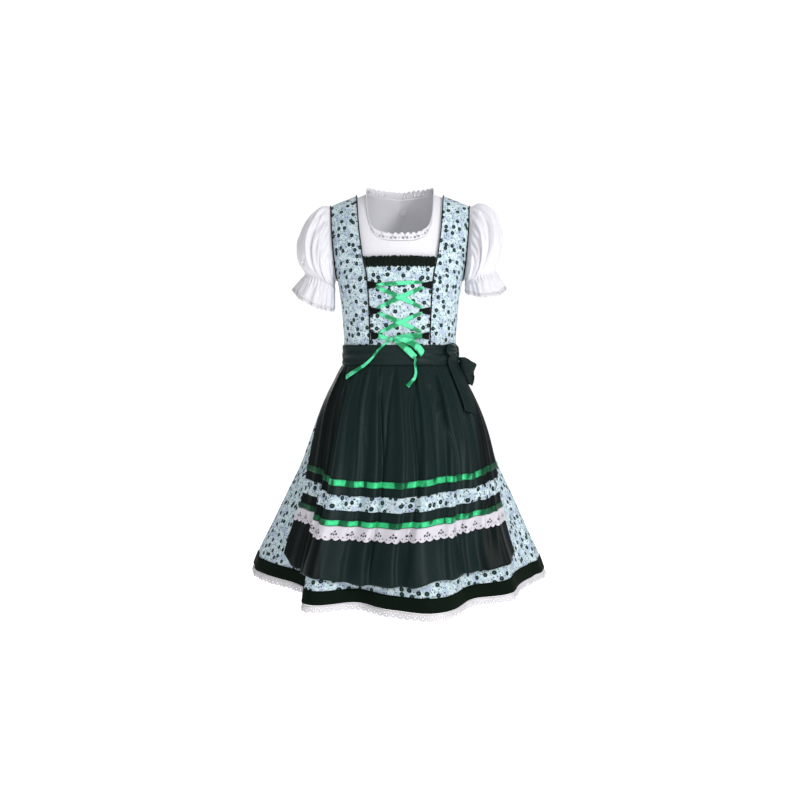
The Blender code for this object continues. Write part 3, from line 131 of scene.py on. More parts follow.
def readRow(values, position):
    # a smooth value between the values of a list, by a position that counts them
    last = len(values) - 1
    i = clamped(int(position), 0, last - 1)

    def slope(k):
        if k == 0:
            return values[1] - values[0]
        if k == last:
            return values[-1] - values[-2]
        return middleSlope(values[k] - values[k - 1], values[k + 1] - values[k])

    return eased(values[i], values[i + 1], slope(i), slope(i + 1), position - i)


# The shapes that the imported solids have

body = {
    "waistSeam": -0.3250,
    "armpit": -0.1680,
    "neckPoint": 0.0905,
    "neckPointHeight": 0.0075,
    "slope": 0.40,
    "roundOver": 4.0,
    # height, half width, depth in front, depth behind
    "rows": [
        (-0.3450, 0.1172, 0.0850, 0.0850), (-0.3000, 0.1166, 0.0862, 0.0838),
        (-0.2370, 0.1208, 0.0930, 0.0830), (-0.1680, 0.1305, 0.1000, 0.0880),
        (-0.1260, 0.1420, 0.0990, 0.0900), (-0.0650, 0.1515, 0.0900, 0.0870),
        (0.0000, 0.1550, 0.0760, 0.0760),
    ],
    # level and angle of the seams and armholes
    "frontSeam": [
        (0.0, 31.5), (0.5, 30.7), (1.0, 30.4), (1.14, 31.8), (1.27, 32.5), (1.41, 33.3), (2.0, 35.7),
    ],
    "frontArmhole": [
        (0.0, 90.0), (1.0, 90.0), (1.03, 84.0), (1.09, 77.0), (1.2, 71.0), (1.4, 68.0), (1.7, 68.0),
        (2.0, 70.4),
    ],
    "backArmhole": [
        (0.0, 90.0), (1.0, 90.0), (1.03, 85.0), (1.09, 79.0), (1.2, 74.0), (1.4, 70.0), (1.7, 69.0),
        (2.0, 70.4),
    ],
}
bodySize = curveThrough(body["rows"])
frontSeam = curveThrough(body["frontSeam"])
frontArmhole = curveThrough(body["frontArmhole"])
backArmhole = curveThrough(body["backArmhole"])


def shoulderHeight(x):
    return body["neckPointHeight"] - body["slope"] * (abs(x) - body["neckPoint"])


def bodyPoint(angle, level, lift=0.0):
    # level 0 is the waist seam, 1 the armpit, 2 the top of the shoulder
    turn = math.radians(angle)
    if level <= 1.0:
        height = mix(body["waistSeam"], body["armpit"], level)
        share = 1.0
    else:
        rise = math.sin(math.radians(90.0 * (level - 1.0)))
        height = mix(body["armpit"], 0.0, rise)
        share = math.sqrt(max(0.0, 1.0 - rise ** body["roundOver"]))
        if level > 2.0:
            share = -share
    depthColumn = 2 if math.cos(turn) >= 0.0 else 3
    x = (bodySize(height) + lift) * math.sin(turn)
    y = -(bodySize(height, depthColumn) + lift) * math.cos(turn) * share
    if level > 1.0:
        height = body["armpit"] + (shoulderHeight(x) + lift - body["armpit"]) * rise
    return Vector((x, y, height))


def bodyNormal(angle, level, lift=0.0):
    across = bodyPoint(angle + 0.1, level, lift) - bodyPoint(angle - 0.1, level, lift)
    up = bodyPoint(angle, level + 0.02, lift) - bodyPoint(angle, level - 0.02, lift)
    return across.cross(up).normalized()


def levelAt(height):
    return (height - body["waistSeam"]) / (body["armpit"] - body["waistSeam"])


def riseAt(x, height):
    return (height - body["armpit"]) / (shoulderHeight(x) - body["armpit"])


def upperLevel(angle, height):
    # the level above the armpit that has a real height at an angle
    rise = 0.0
    for _ in range(5):
        x = bodySize(mix(body["armpit"], 0.0, rise)) * math.sin(math.radians(angle))
        rise = riseAt(x, height)
    return 1.0 + math.degrees(math.asin(rise)) / 90.0


def placeOnBody(x, z):
    # angle and level of a point seen from the front
    if z <= body["armpit"]:
        level = levelAt(z)
        height = z
    else:
        rise = min(riseAt(x, z), 1.0)
        level = 1.0 + math.degrees(math.asin(rise)) / 90.0
        height = mix(body["armpit"], 0.0, rise)
    return math.degrees(math.asin(clamped(x / bodySize(height), -1.0, 1.0))), level


skirt = {
    "top": -0.3253,
    "bandHeight": 0.025,
    "laceHeight": 0.014,
    # height, half width, half depth
    "rows": [
        (-0.3250, 0.1168, 0.0848), (-0.3425, 0.1174, 0.0852), (-0.3650, 0.1270, 0.0950),
        (-0.4000, 0.1450, 0.1130), (-0.4330, 0.1600, 0.1290), (-0.4830, 0.1790, 0.1480),
        (-0.5500, 0.2040, 0.1720), (-0.6110, 0.2330, 0.1920), (-0.6850, 0.2670, 0.2170),
        (-0.7430, 0.2940, 0.2370), (-0.8100, 0.3170, 0.2560),
    ],
    # angle and height of the hem
    "hem": [
        (-180, -0.790), (-135, -0.786), (-90, -0.767), (-60, -0.776), (-33, -0.790), (0, -0.791),
        (34, -0.786), (48, -0.775), (62, -0.772), (90, -0.766), (135, -0.786), (180, -0.790),
    ],
    # angle, depth at the hem, width before and after, how far up the fold begins, lean towards the waist
    "folds": [
        (-100, 0.012, 12, 12, 0.10, 0), (-46.5, -0.064, 43, 12, 0.04, 7), (-31.5, 0.010, 9, 10, 0.05, 7),
        (-17, -0.042, 15, 16, 0.10, 0), (10, 0.030, 14, 18, 0.06, 0), (31, -0.034, 17, 15, 0.12, 0),
        (44, 0.006, 8, 8, 0.30, 0), (60, -0.023, 21, 27, 0.15, 0), (97, -0.009, 18, 14, 0.10, 0),
        (114, -0.026, 14, 12, 0.10, 0), (131, 0.018, 12, 12, 0.16, 0), (149, -0.032, 15, 13, 0.08, 0),
        (167, 0.020, 13, 14, 0.14, 0), (186, -0.026, 13, 12, 0.10, 0), (203, 0.022, 12, 13, 0.10, 0),
        (222, -0.034, 14, 13, 0.07, 0), (240, 0.016, 12, 10, 0.18, 0),
    ],
    # smaller creases that only the cloth has: angle, depth, width, where they start and end
    "creases": [
        (-146, 0.0030, 5.0, 0.05, 0.80), (-128, -0.0035, 5.5, 0.02, 0.62), (-112, 0.0028, 4.5, 0.04, 0.70),
        (-95, -0.0040, 5.0, 0.02, 0.75), (-84, 0.0030, 4.5, 0.03, 0.85), (-76, -0.0026, 4.0, 0.10, 0.70),
        (68, -0.0024, 4.0, 0.20, 0.95), (76, 0.0026, 4.0, 0.08, 0.80), (84, -0.0036, 4.5, 0.04, 0.90),
        (93, 0.0030, 4.5, 0.03, 0.65), (106, -0.0030, 5.0, 0.03, 0.80), (124, 0.0034, 5.0, 0.02, 0.60),
        (141, -0.0030, 5.0, 0.04, 0.70), (158, 0.0030, 5.0, 0.03, 0.75), (176, -0.0034, 5.0, 0.02, 0.55),
        (-166, 0.0032, 5.0, 0.03, 0.66),
    ],
    "rippleHeight": 0.0011,
    "ripples": 61.0,
    "gatherHeight": 0.0022,
    "gatherWaves": (26, 17.0),
}
skirtSize = curveThrough(skirt["rows"])
hemHeight = curveThrough(skirt["hem"])


def skirtOffset(angle, height, follow=1.0, fine=True, gather=1.0):
    # how far the skirt's folds, creases and gathers stand out
    turn = math.radians(angle)
    near = wrapped(angle)
    down = (skirt["top"] - height) / (skirt["top"] - hemHeight(near))
    offset = 0.0
    for at, depth, before, after, top, lean in skirt["folds"]:
        away = wrapped(near - at + lean * (1.0 - clamped(down)))
        shape = bump(away, before if away < 0.0 else after)
        if shape > 0.0 and down > top:
            grown = min((down - top) / (1.0 - top), 1.0) ** 1.25
            offset += depth * shape * grown * (follow if depth < 0.0 else 1.0)
    if fine:
        for at, depth, width, start, end in skirt["creases"]:
            shape = bump(wrapped(near - at - 3.0 * math.sin(down * 3.0 + at)), width * (0.6 + 0.7 * down))
            if shape > 0.0:
                begun = smoothStep((down - start) / 0.2)
                offset += depth * shape * begun * (1.0 - smoothStep((down - end) / 0.25))
        ripple = math.cos(skirt["ripples"] * turn + 2.0 * math.sin(5.0 * turn)) * skirt["rippleHeight"]
        offset += ripple * smoothStep(down / 0.03) * (1.0 - smoothStep((down - 0.05) / 0.20))
    gathered = smoothStep(down / 0.10 - 0.4) * (1.0 - smoothStep((down - 0.14) / 0.45))
    many, few = skirt["gatherWaves"]
    wave = 0.65 * math.cos(many * turn + 1.2 * math.sin(3.0 * turn)) + 0.35 * math.cos(few * turn + 0.8)
    return offset + skirt["gatherHeight"] * gathered * wave * gather


def skirtPoint(angle, height, offset=None):
    turn = math.radians(angle)
    halfWidth = skirtSize(height)
    halfDepth = skirtSize(height, 2)
    outward = Vector((math.sin(turn) / halfWidth, -math.cos(turn) / halfDepth, 0.0)).normalized()
    if offset is None:
        offset = skirtOffset(angle, height)
    return Vector((halfWidth * math.sin(turn), -halfDepth * math.cos(turn), height)) + outward * offset


apron = {
    "top": -0.3431,
    "tucked": 0.0008,
    "tuckedDown": 0.022,
    "near": 0.0042,
    "far": 0.0100,
    "follows": 0.80,
    "gather": 0.20,
    "deeper": 1.70,
    "clear": 0.0020,
    # share of the way down, right and left edge
    "edges": [
        (0.00, -86.0, 86.0), (0.25, -80.5, 83.0), (0.52, -70.0, 72.0), (0.76, -62.3, 58.0),
        (0.83, -63.2, 56.5), (0.93, -62.8, 54.8), (1.00, -62.0, 54.3),
    ],
    # the line that the trims run parallel to, and the hem
    "line": [
        (0.00, -0.7270), (0.10, -0.7300), (0.17, -0.7370), (0.235, -0.7425), (0.35, -0.7468),
        (0.50, -0.7456), (0.60, -0.7385), (0.75, -0.7360), (0.87, -0.7276), (1.00, -0.7225),
    ],
    "hem": [
        (0.00, -0.7200), (0.03, -0.7290), (0.07, -0.7400), (0.14, -0.7440), (0.24, -0.7370),
        (0.30, -0.7440), (0.40, -0.7525), (0.545, -0.7470), (0.64, -0.7345), (0.81, -0.7335),
        (0.95, -0.7190), (1.00, -0.7100),
    ],
    # place across, height at waist and hem, width at waist and hem
    "tucks": [
        (0.080, 0.0018, 0.0030, 0.022, 0.040), (0.160, 0.0022, 0.0050, 0.022, 0.045),
        (0.240, 0.0024, 0.0060, 0.022, 0.050), (0.315, 0.0028, 0.0050, 0.022, 0.035),
        (0.385, 0.0036, 0.0095, 0.022, 0.050), (0.489, 0.0036, 0.0060, 0.021, 0.038),
        (0.598, 0.0040, 0.0105, 0.023, 0.055), (0.712, 0.0036, 0.0080, 0.023, 0.050),
        (0.790, 0.0024, 0.0050, 0.021, 0.036), (0.860, 0.0020, 0.0050, 0.021, 0.040),
        (0.930, 0.0018, 0.0030, 0.021, 0.035),
    ],
    # pressed lines of the pleats: width, depth, places as share down and across
    "lines": [
        (0.014, -0.0062, [(0.00, 0.386), (0.26, 0.413), (0.53, 0.427), (0.98, 0.432)]),
        (0.012, -0.0052, [(0.00, 0.474), (0.26, 0.440), (0.50, 0.433)]),
        (0.013, -0.0058, [(0.00, 0.593), (0.26, 0.543), (0.53, 0.556), (0.98, 0.562)]),
        (0.006, 0.0018, [(0.00, 0.577), (0.26, 0.529), (0.53, 0.542), (0.98, 0.549)]),
        (0.014, -0.0062, [(0.00, 0.703), (0.24, 0.683), (0.50, 0.722), (0.96, 0.732)]),
        (0.007, 0.0016, [(0.02, 0.720), (0.24, 0.700), (0.50, 0.738), (0.90, 0.748)]),
        (0.013, -0.0046, [(0.00, 0.800), (0.30, 0.795), (0.70, 0.800)]),
        (0.022, -0.0060, [(0.00, 0.119), (0.15, 0.190), (0.50, 0.212), (0.98, 0.200)]),
        (0.018, -0.0030, [(0.02, 0.300), (0.35, 0.318), (0.90, 0.330)]),
        (0.016, -0.0026, [(0.05, 0.250), (0.45, 0.262), (0.80, 0.268)]),
        (0.018, -0.0032, [(0.10, 0.640), (0.40, 0.628), (0.80, 0.640)]),
        (0.018, -0.0036, [(0.08, 0.870), (0.60, 0.852), (0.95, 0.850)]),
    ],
    # crumples: across and share down of both ends, width, depth
    "creases": [
        (0.650, 0.225, 0.690, 0.178, 0.010, -0.0034), (0.655, 0.250, 0.705, 0.215, 0.009, 0.0026),
        (0.470, 0.36, 0.500, 0.46, 0.012, -0.0014), (0.340, 0.30, 0.360, 0.42, 0.012, 0.0014),
        (0.300, 0.55, 0.345, 0.66, 0.014, 0.0012),
    ],
    "ripples": 74.0,
    "rippleHeight": 0.0003,
    "unevenness": 0.0012,
}
apronLines = []
for width, depth, spots in apron["lines"]:
    apronLines.append((width, depth, curveThrough(spots), spots[0][0], spots[-1][0]))
apronEdges = curveThrough(apron["edges"])
apronHem = curveThrough(apron["hem"])
apronLine = curveThrough(apron["line"])


def pleat(t, lean):
    # a fold from -1 to 1 that rises slowly and falls away steeply on the side it leans to
    if abs(t) >= 1.0:
        return 0.0
    return bump(t - lean, 1.0 + lean) if t < lean else bump(t - lean, 1.0 - lean)


def creased(creases, u, v):
    # how far straight creases between two places raise the cloth at a place
    lift = 0.0
    for u0, v0, u1, v1, width, depth in creases:
        du = u1 - u0
        dv = v1 - v0
        t = clamped(((u - u0) * du + (v - v0) * dv) / (du * du + dv * dv))
        away = math.hypot((u - u0) - du * t, v - v0 - dv * t)
        if away < width:
            lift += depth * bump(away, width) * (0.35 + 0.65 * math.sin(math.pi * clamped(t, 0.04, 0.96)))
    return lift


def apronPoint(across, height, lift=0.0):
    down = (apron["top"] - height) / (apron["top"] - apronHem(across))
    angle = mix(apronEdges(down), apronEdges(down, 2), across)
    free = mix(apron["near"], apron["far"], smoothStep(down * 1.4))
    lift += mix(apron["tucked"], free, smoothStep(down / apron["tuckedDown"]))
    tucks = 0.0
    for at, waistHeight, hemTuck, waistWidth, hemWidth in apron["tucks"]:
        fold = pleat((across - at) / mix(waistWidth, hemWidth, down), 0.5 if at < 0.5 else -0.5)
        tucks += apron["deeper"] * mix(waistHeight, hemTuck, down) * fold
    lift += tucks * smoothStep(down * 14.0)
    lift += creased(apron["creases"], across, down)
    for width, depth, lineAt, start, end in apronLines:
        away = across - lineAt(down)
        if abs(away) < width:
            ends = smoothStep((down - start) / 0.03) * (1.0 - smoothStep((down - end + 0.12) / 0.12))
            lift += depth * (1.0 - abs(away) / width) ** 1.6 * ends
    ripple = apron["rippleHeight"] * turns(across * apron["ripples"] + 0.8 * math.sin(across * 31.0))
    lift += ripple * smoothStep(down / 0.02) * (1.0 - smoothStep(down / 0.16))
    lift += apron["unevenness"] * softNoise(across * 9.0, down * 5.0) * smoothStep(down * 6.0)
    # it never sinks into the skirt
    offset = skirtOffset(angle, height, apron["follows"], False, apron["gather"]) + lift
    lowest = skirtOffset(angle, height) + mix(apron["tucked"], apron["clear"], smoothStep(down / 0.03))
    over = smoothStep((offset - lowest) / apron["clear"] * 0.5 + 0.5)
    return skirtPoint(angle, height, mix(lowest, max(offset, lowest), over))


# Cloth makers

layers = {}  # name -> points and faces of each finished middle surface, to lay ribbons on
finishes = {}  # key -> material
wall = {
    "cloth": 0.0012, "lace": 0.0008, "loop": 0.0010, "weld": 0.000004, "shortest": 0.0101, "leastShare": 0.32,
}


def pieceName(node):
    # the visible piece's name: its solid's, in one word
    first, *others = ("apron_cloth" if node == "apron" else node).split("_")
    return first + "".join(word.capitalize() for word in others)


def dressed(node, finish, data):
    # the visible piece that takes a solid's place
    data.materials.append(finishes[finish])
    piece = bpy.data.objects.new(data.name, data)
    bpy.context.collection.objects.link(piece)
    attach(piece, "root")
    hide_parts(node)
    return piece


def finishMesh(node, finish, shape):
    name = pieceName(node)
    mesh = bpy.data.meshes.new(name)
    shape.verts.index_update()
    shape.to_mesh(mesh)
    faces = [[corner.index for corner in face.verts] for face in shape.faces]
    layers[name] = ([corner.co.copy() for corner in shape.verts], faces)
    shape.free()
    mesh.shade_smooth()
    return dressed(node, finish, mesh)


def clothPiece(node, finish, place, columns, rows, lift=0.0, thickness=wall["cloth"], closed=False,
               uvSize=None):
    # place(u, v) gives the middle of the cloth: u runs towards the wearer's left, v downwards
    shape = bmesh.new()
    bmesh.ops.create_grid(shape, x_segments=columns, y_segments=rows, size=0.5)
    spots = {}
    grid = {}
    for vert in shape.verts:
        u, v = vert.co.x + 0.5, 0.5 - vert.co.y
        spots[vert] = (round(u * columns), round(v * rows))
        grid[spots[vert]] = vert
        vert.co = place(u, v)
    shape.normal_update()
    if lift:
        normals = {vert: vert.normal.copy() for vert in shape.verts}
        for vert, normal in normals.items():
            vert.co += normal * lift
    # lengths along the rows and columns of the cloth, so that patterns keep their real size
    across = {}
    down = {}
    for j in range(rows, -1, -1):
        for i in range(columns + 1):
            here = grid[i, j].co
            across[i, j] = across[i - 1, j] + (here - grid[i - 1, j].co).length if i else 0.0
            down[i, j] = down[i, j + 1] + (here - grid[i, j + 1].co).length if j < rows else 0.0
    layer = shape.loops.layers.uv.new("UVMap")
    for face in shape.faces:
        for loop in face.loops:
            i, j = spots[loop.vert]
            if uvSize:
                loop[layer].uv = (i / columns * uvSize[0], (1.0 - j / rows) * uvSize[1])
            else:
                loop[layer].uv = (across[i, j] - across[columns // 2, j], down[i, j])
    if closed:
        bmesh.ops.remove_doubles(shape, verts=shape.verts, dist=wall["weld"])
    shape.normal_update()
    area = sum(face.calc_area() for face in shape.faces)
    piece = finishMesh(node, finish, shape)
    thick = piece.modifiers.new("wall", "SOLIDIFY")
    thick.thickness = thickness
    thick.offset = 0.0
    thick.use_even_offset = False
    cut = tuple(max(max(run.values()), wall["shortest"]) for run in (across, down))
    share = clamped(area / (cut[0] * cut[1]), wall["leastShare"])
    return piece, (cut, cut[0] * cut[1] * share)


def cordPiece(node, finish, points, radius, closed=False):
    curve = bpy.data.curves.new(pieceName(node), "CURVE")
    curve.dimensions = "3D"
    curve.bevel_depth = radius
    curve.bevel_resolution = 3
    curve.use_fill_caps = not closed
    spline = curve.splines.new("POLY")
    spline.points.add(len(points) - 1)
    for point, target in zip(points, spline.points):
        target.co = (*point, 1.0)
    spline.use_cyclic_u = closed
    return dressed(node, finish, curve)


def smoothPath(points, steps):
    # more points on a rounded path through the given ones
    last = len(points) - 1
    path = []
    for i in range(last):
        near = [points[clamped(i + k, 0, last)] for k in (-1, 0, 1, 2)]
        path += [rounded(*near, k / steps) for k in range(steps)]
    return path + [points[-1].copy()]


# Shading

class Wire:
    # a socket, or a number, that adds its own Math nodes when it is used in an expression
    def __init__(self, finish, socket):
        self.finish = finish
        self.socket = socket

    def maths(self, operation, *others):
        return self.finish.node("ShaderNodeMath", {"operation": operation}, dict(enumerate((self, *others))))

    def __add__(self, other):
        return self.maths("ADD", other)

    def __sub__(self, other):
        return self.maths("SUBTRACT", other)

    def __mul__(self, other):
        return self.maths("MULTIPLY", other)

    def __truediv__(self, other):
        return self.maths("DIVIDE", other)

    def __rsub__(self, other):
        return self.finish.node("ShaderNodeMath", {"operation": "SUBTRACT"}, {0: other, 1: self})

    def below(self, edge, soft):
        # 1 below the edge and 0 above it, with a soft change
        return self.finish.node("ShaderNodeMapRange", {"interpolation_type": "SMOOTHSTEP"}, {
            "Value": self, "From Min": edge - soft, "From Max": edge + soft, "To Min": 1.0, "To Max": 0.0})


class Finish:
    # one material with its Principled shader, and the one method that adds every node
    def __init__(self, name, colour, roughness, metallic=0.0, sheen=0.0, specular=0.5):
        self.material = bpy.data.materials.new(name)
        self.material.use_nodes = True
        self.tree = self.material.node_tree
        self.shader = self.tree.nodes["Principled BSDF"]
        self.set("Base Color", (*colour, 1.0))
        self.set("Roughness", roughness)
        self.set("Metallic", metallic)
        self.set("Specular IOR Level", specular)
        self.set("Sheen Weight", sheen)
        self.set("Sheen Roughness", 0.4)

    def connect(self, value, socket):
        if isinstance(value, Wire):
            self.tree.links.new(value.socket, socket)
        else:
            socket.default_value = value

    def set(self, name, value):
        self.connect(value, self.shader.inputs[name])

    def node(self, kind, settings=None, inputs=None, output=0):
        made = self.tree.nodes.new(kind)
        for name, value in (settings or {}).items():
            setattr(made, name, value)
        for name, value in (inputs or {}).items():
            self.connect(value, made.inputs[name])
        return Wire(self, made.outputs[output])

    def cloth(self):
        return self.node("ShaderNodeUVMap", {"uv_map": "UVMap"})

    def place(self):
        return self.node("ShaderNodeTexCoord", output="Object")

    def scaled(self, vector, *scale):
        return self.node("ShaderNodeVectorMath", {"operation": "MULTIPLY"}, {0: vector, 1: scale})

    def split(self, vector, axis):
        return self.node("ShaderNodeSeparateXYZ", None, {0: vector}, axis)

    def noisy(self, vector, scale, detail=2.0, rough=0.5):
        given = {"Vector": vector, "Scale": scale, "Detail": detail, "Roughness": rough}
        return self.node("ShaderNodeTexNoise", None, given)

    def blend(self, share, first, second):
        return self.node("ShaderNodeMix", {"data_type": "RGBA"}, {0: share, 6: first, 7: second}, 2)

    def relief(self, height, strength, distance):
        given = {"Height": height, "Strength": strength, "Distance": distance}
        self.set("Normal", self.node("ShaderNodeBump", None, given))

    def weave(self, vector, perMetre):
        # over and under threads of a plain weave, as a height from -1 to 1
        turned = self.scaled(vector, *(perMetre * math.tau,) * 3)
        return self.split(turned, 0).maths("SINE") * self.split(turned, 1).maths("SINE")


printLook = {
    "ground": (0.66, 0.74, 0.78, 1.0),
    "aqua": (0.36, 0.54, 0.59, 1.0),
    "lilac": (0.40, 0.45, 0.62, 1.0),
    "leaf": (0.28, 0.46, 0.50, 1.0),
    "dark": (0.003, 0.016, 0.016, 1.0),
    "middle": (0.08, 0.20, 0.18, 1.0),
    # faint petals: cells for each metre, reach, turn, strength
    "petals": [((130.0, 260.0, 1.0), 0.30, 0.7, 0.5), ((250.0, 120.0, 1.0), 0.28, -0.6, 0.4)],
    "flowerCell": 0.0172,
    "flowerRadius": 0.0042,
    "dotCell": 0.0056,
    "threads": 900.0,
    "relief": (0.25, 0.0004),
}


def makePrint():
    look = printLook
    finish = Finish("printedCotton", (0.7, 0.8, 0.85), 0.82, sheen=0.1, specular=0.25)
    cloth = finish.cloth()

    def cells(scale, randomness, output=0, vector=cloth):
        settings = {"voronoi_dimensions": "2D", "feature": "F1"}
        given = {"Vector": finish.scaled(vector, *scale), "Scale": 1.0, "Randomness": randomness}
        return finish.node("ShaderNodeTexVoronoi", settings, given, output)

    mottle = finish.noisy(cloth, 120.0, 3.0, 0.6)
    drift = finish.noisy(cloth, 55.0, 2.0, 0.5)
    ground = finish.blend(mottle.below(0.46, 0.05) * 0.75, look["ground"], look["aqua"])
    ground = finish.blend((1 - drift.below(0.54, 0.05)) * 0.75, ground, look["lilac"])
    for stretch, reach, turn, strength in look["petals"]:
        given = {"Vector": cloth, "Angle": turn}
        turned = finish.node("ShaderNodeVectorRotate", {"rotation_type": "Z_AXIS"}, given)
        petals = cells(stretch, 0.9, 0, turned).below(reach, 0.06)
        ground = finish.blend(petals * strength, ground, look["leaf"])
    # small ring flowers, in most of the cells
    spread = (1.0 / look["flowerCell"],) * 3
    pick = finish.split(cells(spread, 0.95, 1), 0)
    edge = finish.noisy(cloth, 520.0, 1.0) * 0.22 - 0.11
    reach = cells(spread, 0.95) * (look["flowerCell"] / look["flowerRadius"]) + edge
    chosen = 1 - pick.below(0.20, 0.01)
    ring = (reach - 0.62).maths("ABSOLUTE").below(0.42, 0.06) * chosen
    heart = reach.below(0.08, 0.04) * chosen
    middle = reach.below(0.26, 0.06) * chosen
    patterned = finish.blend(middle * 0.85, ground, look["middle"])
    patterned = finish.blend(ring, patterned, look["dark"])
    patterned = finish.blend(heart, patterned, look["dark"])
    # tiny dark dots between them, in clusters
    dots = cells((1.0 / look["dotCell"],) * 3, 1.0)
    clusters = 1 - finish.noisy(cloth, 95.0, 1.0).below(0.48, 0.03)
    apart = 1 - reach.below(1.20, 0.05) * chosen
    finish.set("Base Color", finish.blend(dots.below(0.22, 0.04) * clusters * apart, patterned, look["dark"]))
    finish.relief(finish.weave(cloth, look["threads"]) + finish.noisy(cloth, 300.0) * 0.6, *look["relief"])
    return finish.material


# painted shade on the apron's outer panels: where it begins, how its edges run, and its share and colour on
# each finish
sideShadeLook = {
    "from": -0.36,
    "left": -0.110,
    "right": 0.150,
    "slope": 0.20,
    "bend": 0.25,
    "soft": 0.003,
    "softTop": 0.004,
    "taffeta": (0.75, (0.0010, 0.0022, 0.0020, 1.0)),
    "ribbon": (0.9, (0.0, 0.042, 0.016, 1.0)),
}


def paintedSideShade(finish, base, key):
    # painted shade: a darker colour on both outer panels of the apron, past the pressed lines beside them,
    # standing in for the shade they lie in
    look = sideShadeLook
    place = finish.place()
    x = finish.split(place, 0)
    down = look["from"] - finish.split(place, 2)
    line = down * look["slope"] - down * down * look["bend"]
    left = (x + line).below(look["left"], look["soft"])
    right = 1 - (x - line * 0.25).below(look["right"], look["soft"] * 3.0)
    sides = left.maths("MAXIMUM", right) * (1 - down.below(0.0, look["softTop"]))
    share, dark = look[key]
    return finish.blend(sides * share, base, dark)


taffetaLook = {
    "colour": (0.008, 0.0150, 0.0150),
    "specular": 0.10,
    "dark": (0.0050, 0.0125, 0.0120, 1.0),
    "light": (0.0105, 0.0225, 0.0220, 1.0),
    "threads": 1400.0,
    "relief": (0.18, 0.0003),
}


def makeTaffeta():
    look = taffetaLook
    finish = Finish("darkTaffeta", look["colour"], 0.38, specular=look["specular"])
    cloth = finish.cloth()
    slub = finish.noisy(finish.scaled(cloth, 60.0, 900.0, 1.0), 1.0, 2.0)
    drift = finish.noisy(cloth, 26.0, 2.0)
    finish.set("Roughness", slub * 0.08 + drift * 0.08 + 0.32)
    base = finish.blend(slub, look["dark"], look["light"])
    # the base colour, with painted shade on the apron's outer panels
    finish.set("Base Color", paintedSideShade(finish, base, "taffeta"))
    finish.relief(finish.weave(cloth, look["threads"]) * 0.4 + slub, *look["relief"])
    return finish.material


plainRelief = (0.3, 0.0004)


def makePlain(name, dark, light, roughness, perMetre, sheen, specular):
    finish = Finish(name, dark, roughness, sheen=sheen, specular=specular)
    cloth = finish.cloth()
    drift = finish.noisy(cloth, 400.0, 3.0)
    finish.set("Base Color", finish.blend(drift, (*dark, 1.0), (*light, 1.0)))
    finish.relief(finish.weave(cloth, perMetre) + drift, *plainRelief)
    return finish.material


satinLook = {
    "colour": (0.01, 0.40, 0.15),
    "specular": 0.45,
    "dark": (0.001, 0.15, 0.050, 1.0),
    "plain": (0.006, 0.33, 0.115, 1.0),
    # colour of the painted highlights
    "light": (0.110, 0.78, 0.40, 1.0),
    "relief": (0.15, 0.0002),
}


def makeSatin():
    look = satinLook
    finish = Finish("greenSatin", look["colour"], 0.28, specular=look["specular"])
    cloth = finish.cloth()
    thread = finish.noisy(finish.scaled(cloth, 120.0, 2600.0, 1.0), 1.0, 2.0)
    # painted highlights: broad patches of lighter colour, where the satin would catch the light
    light = finish.noisy(cloth, 42.0, 2.0).below(0.50, 0.05)
    base = finish.blend(thread, look["dark"], look["plain"])
    finish.set("Base Color", finish.blend(light * 0.85, base, look["light"]))
    finish.set("Roughness", thread * 0.12 + 0.22)
    finish.relief(thread, *look["relief"])
    return finish.material


ribbonLook = {
    "width": 0.0118,
    "dark": (0.0, 0.040, 0.015, 1.0),
    "plain": (0.002, 0.16, 0.058, 1.0),
    # colour of the painted highlights
    "light": (0.050, 0.66, 0.26, 1.0),
    "edge": (0.0, 0.17, 0.06, 1.0),
    "relief": (0.7, 0.0008),
}


def makeMetallicRibbon():
    # shiny woven ribbon with a crushed, figured face between two plain edges, and patches of painted
    # highlight
    look = ribbonLook
    finish = Finish("figuredRibbon", (0.0, 0.22, 0.08), 0.30, metallic=0.45, specular=0.4)
    cloth = finish.cloth()
    u = finish.split(cloth, 0)
    v = finish.split(cloth, 1)
    figure = finish.noisy(finish.scaled(cloth, 420.0, 620.0, 1.0), 1.0, 3.0, 0.65)
    curl = (finish.noisy(cloth, 260.0, 2.0) * 30.0 + u * 900.0).maths("SINE") * 0.5 + 0.5
    shine = finish.noisy(finish.scaled(cloth, 34.0, 8.0, 1.0), 1.0, 1.5)
    edge = 1 - (v / look["width"] - 0.5).maths("ABSOLUTE").below(0.42, 0.03)
    base = finish.blend(figure.below(0.46, 0.08), look["plain"], look["dark"])
    # painted highlights: lighter patches across the ribbon, kept off the lowest parts of the figure
    paintedHighlights = (1 - shine.below(0.475, 0.025)) * (1 - figure.below(0.36, 0.10))
    base = finish.blend(paintedHighlights, base, look["light"])
    base = finish.blend(edge * 0.6, base, look["edge"])
    # the base colour, with painted shade on the apron's outer panels
    finish.set("Base Color", paintedSideShade(finish, base, "ribbon"))
    finish.set("Roughness", figure * 0.25 + 0.18)
    finish.relief(figure + curl * 0.5 + edge * 0.4, *look["relief"])
    return finish.material
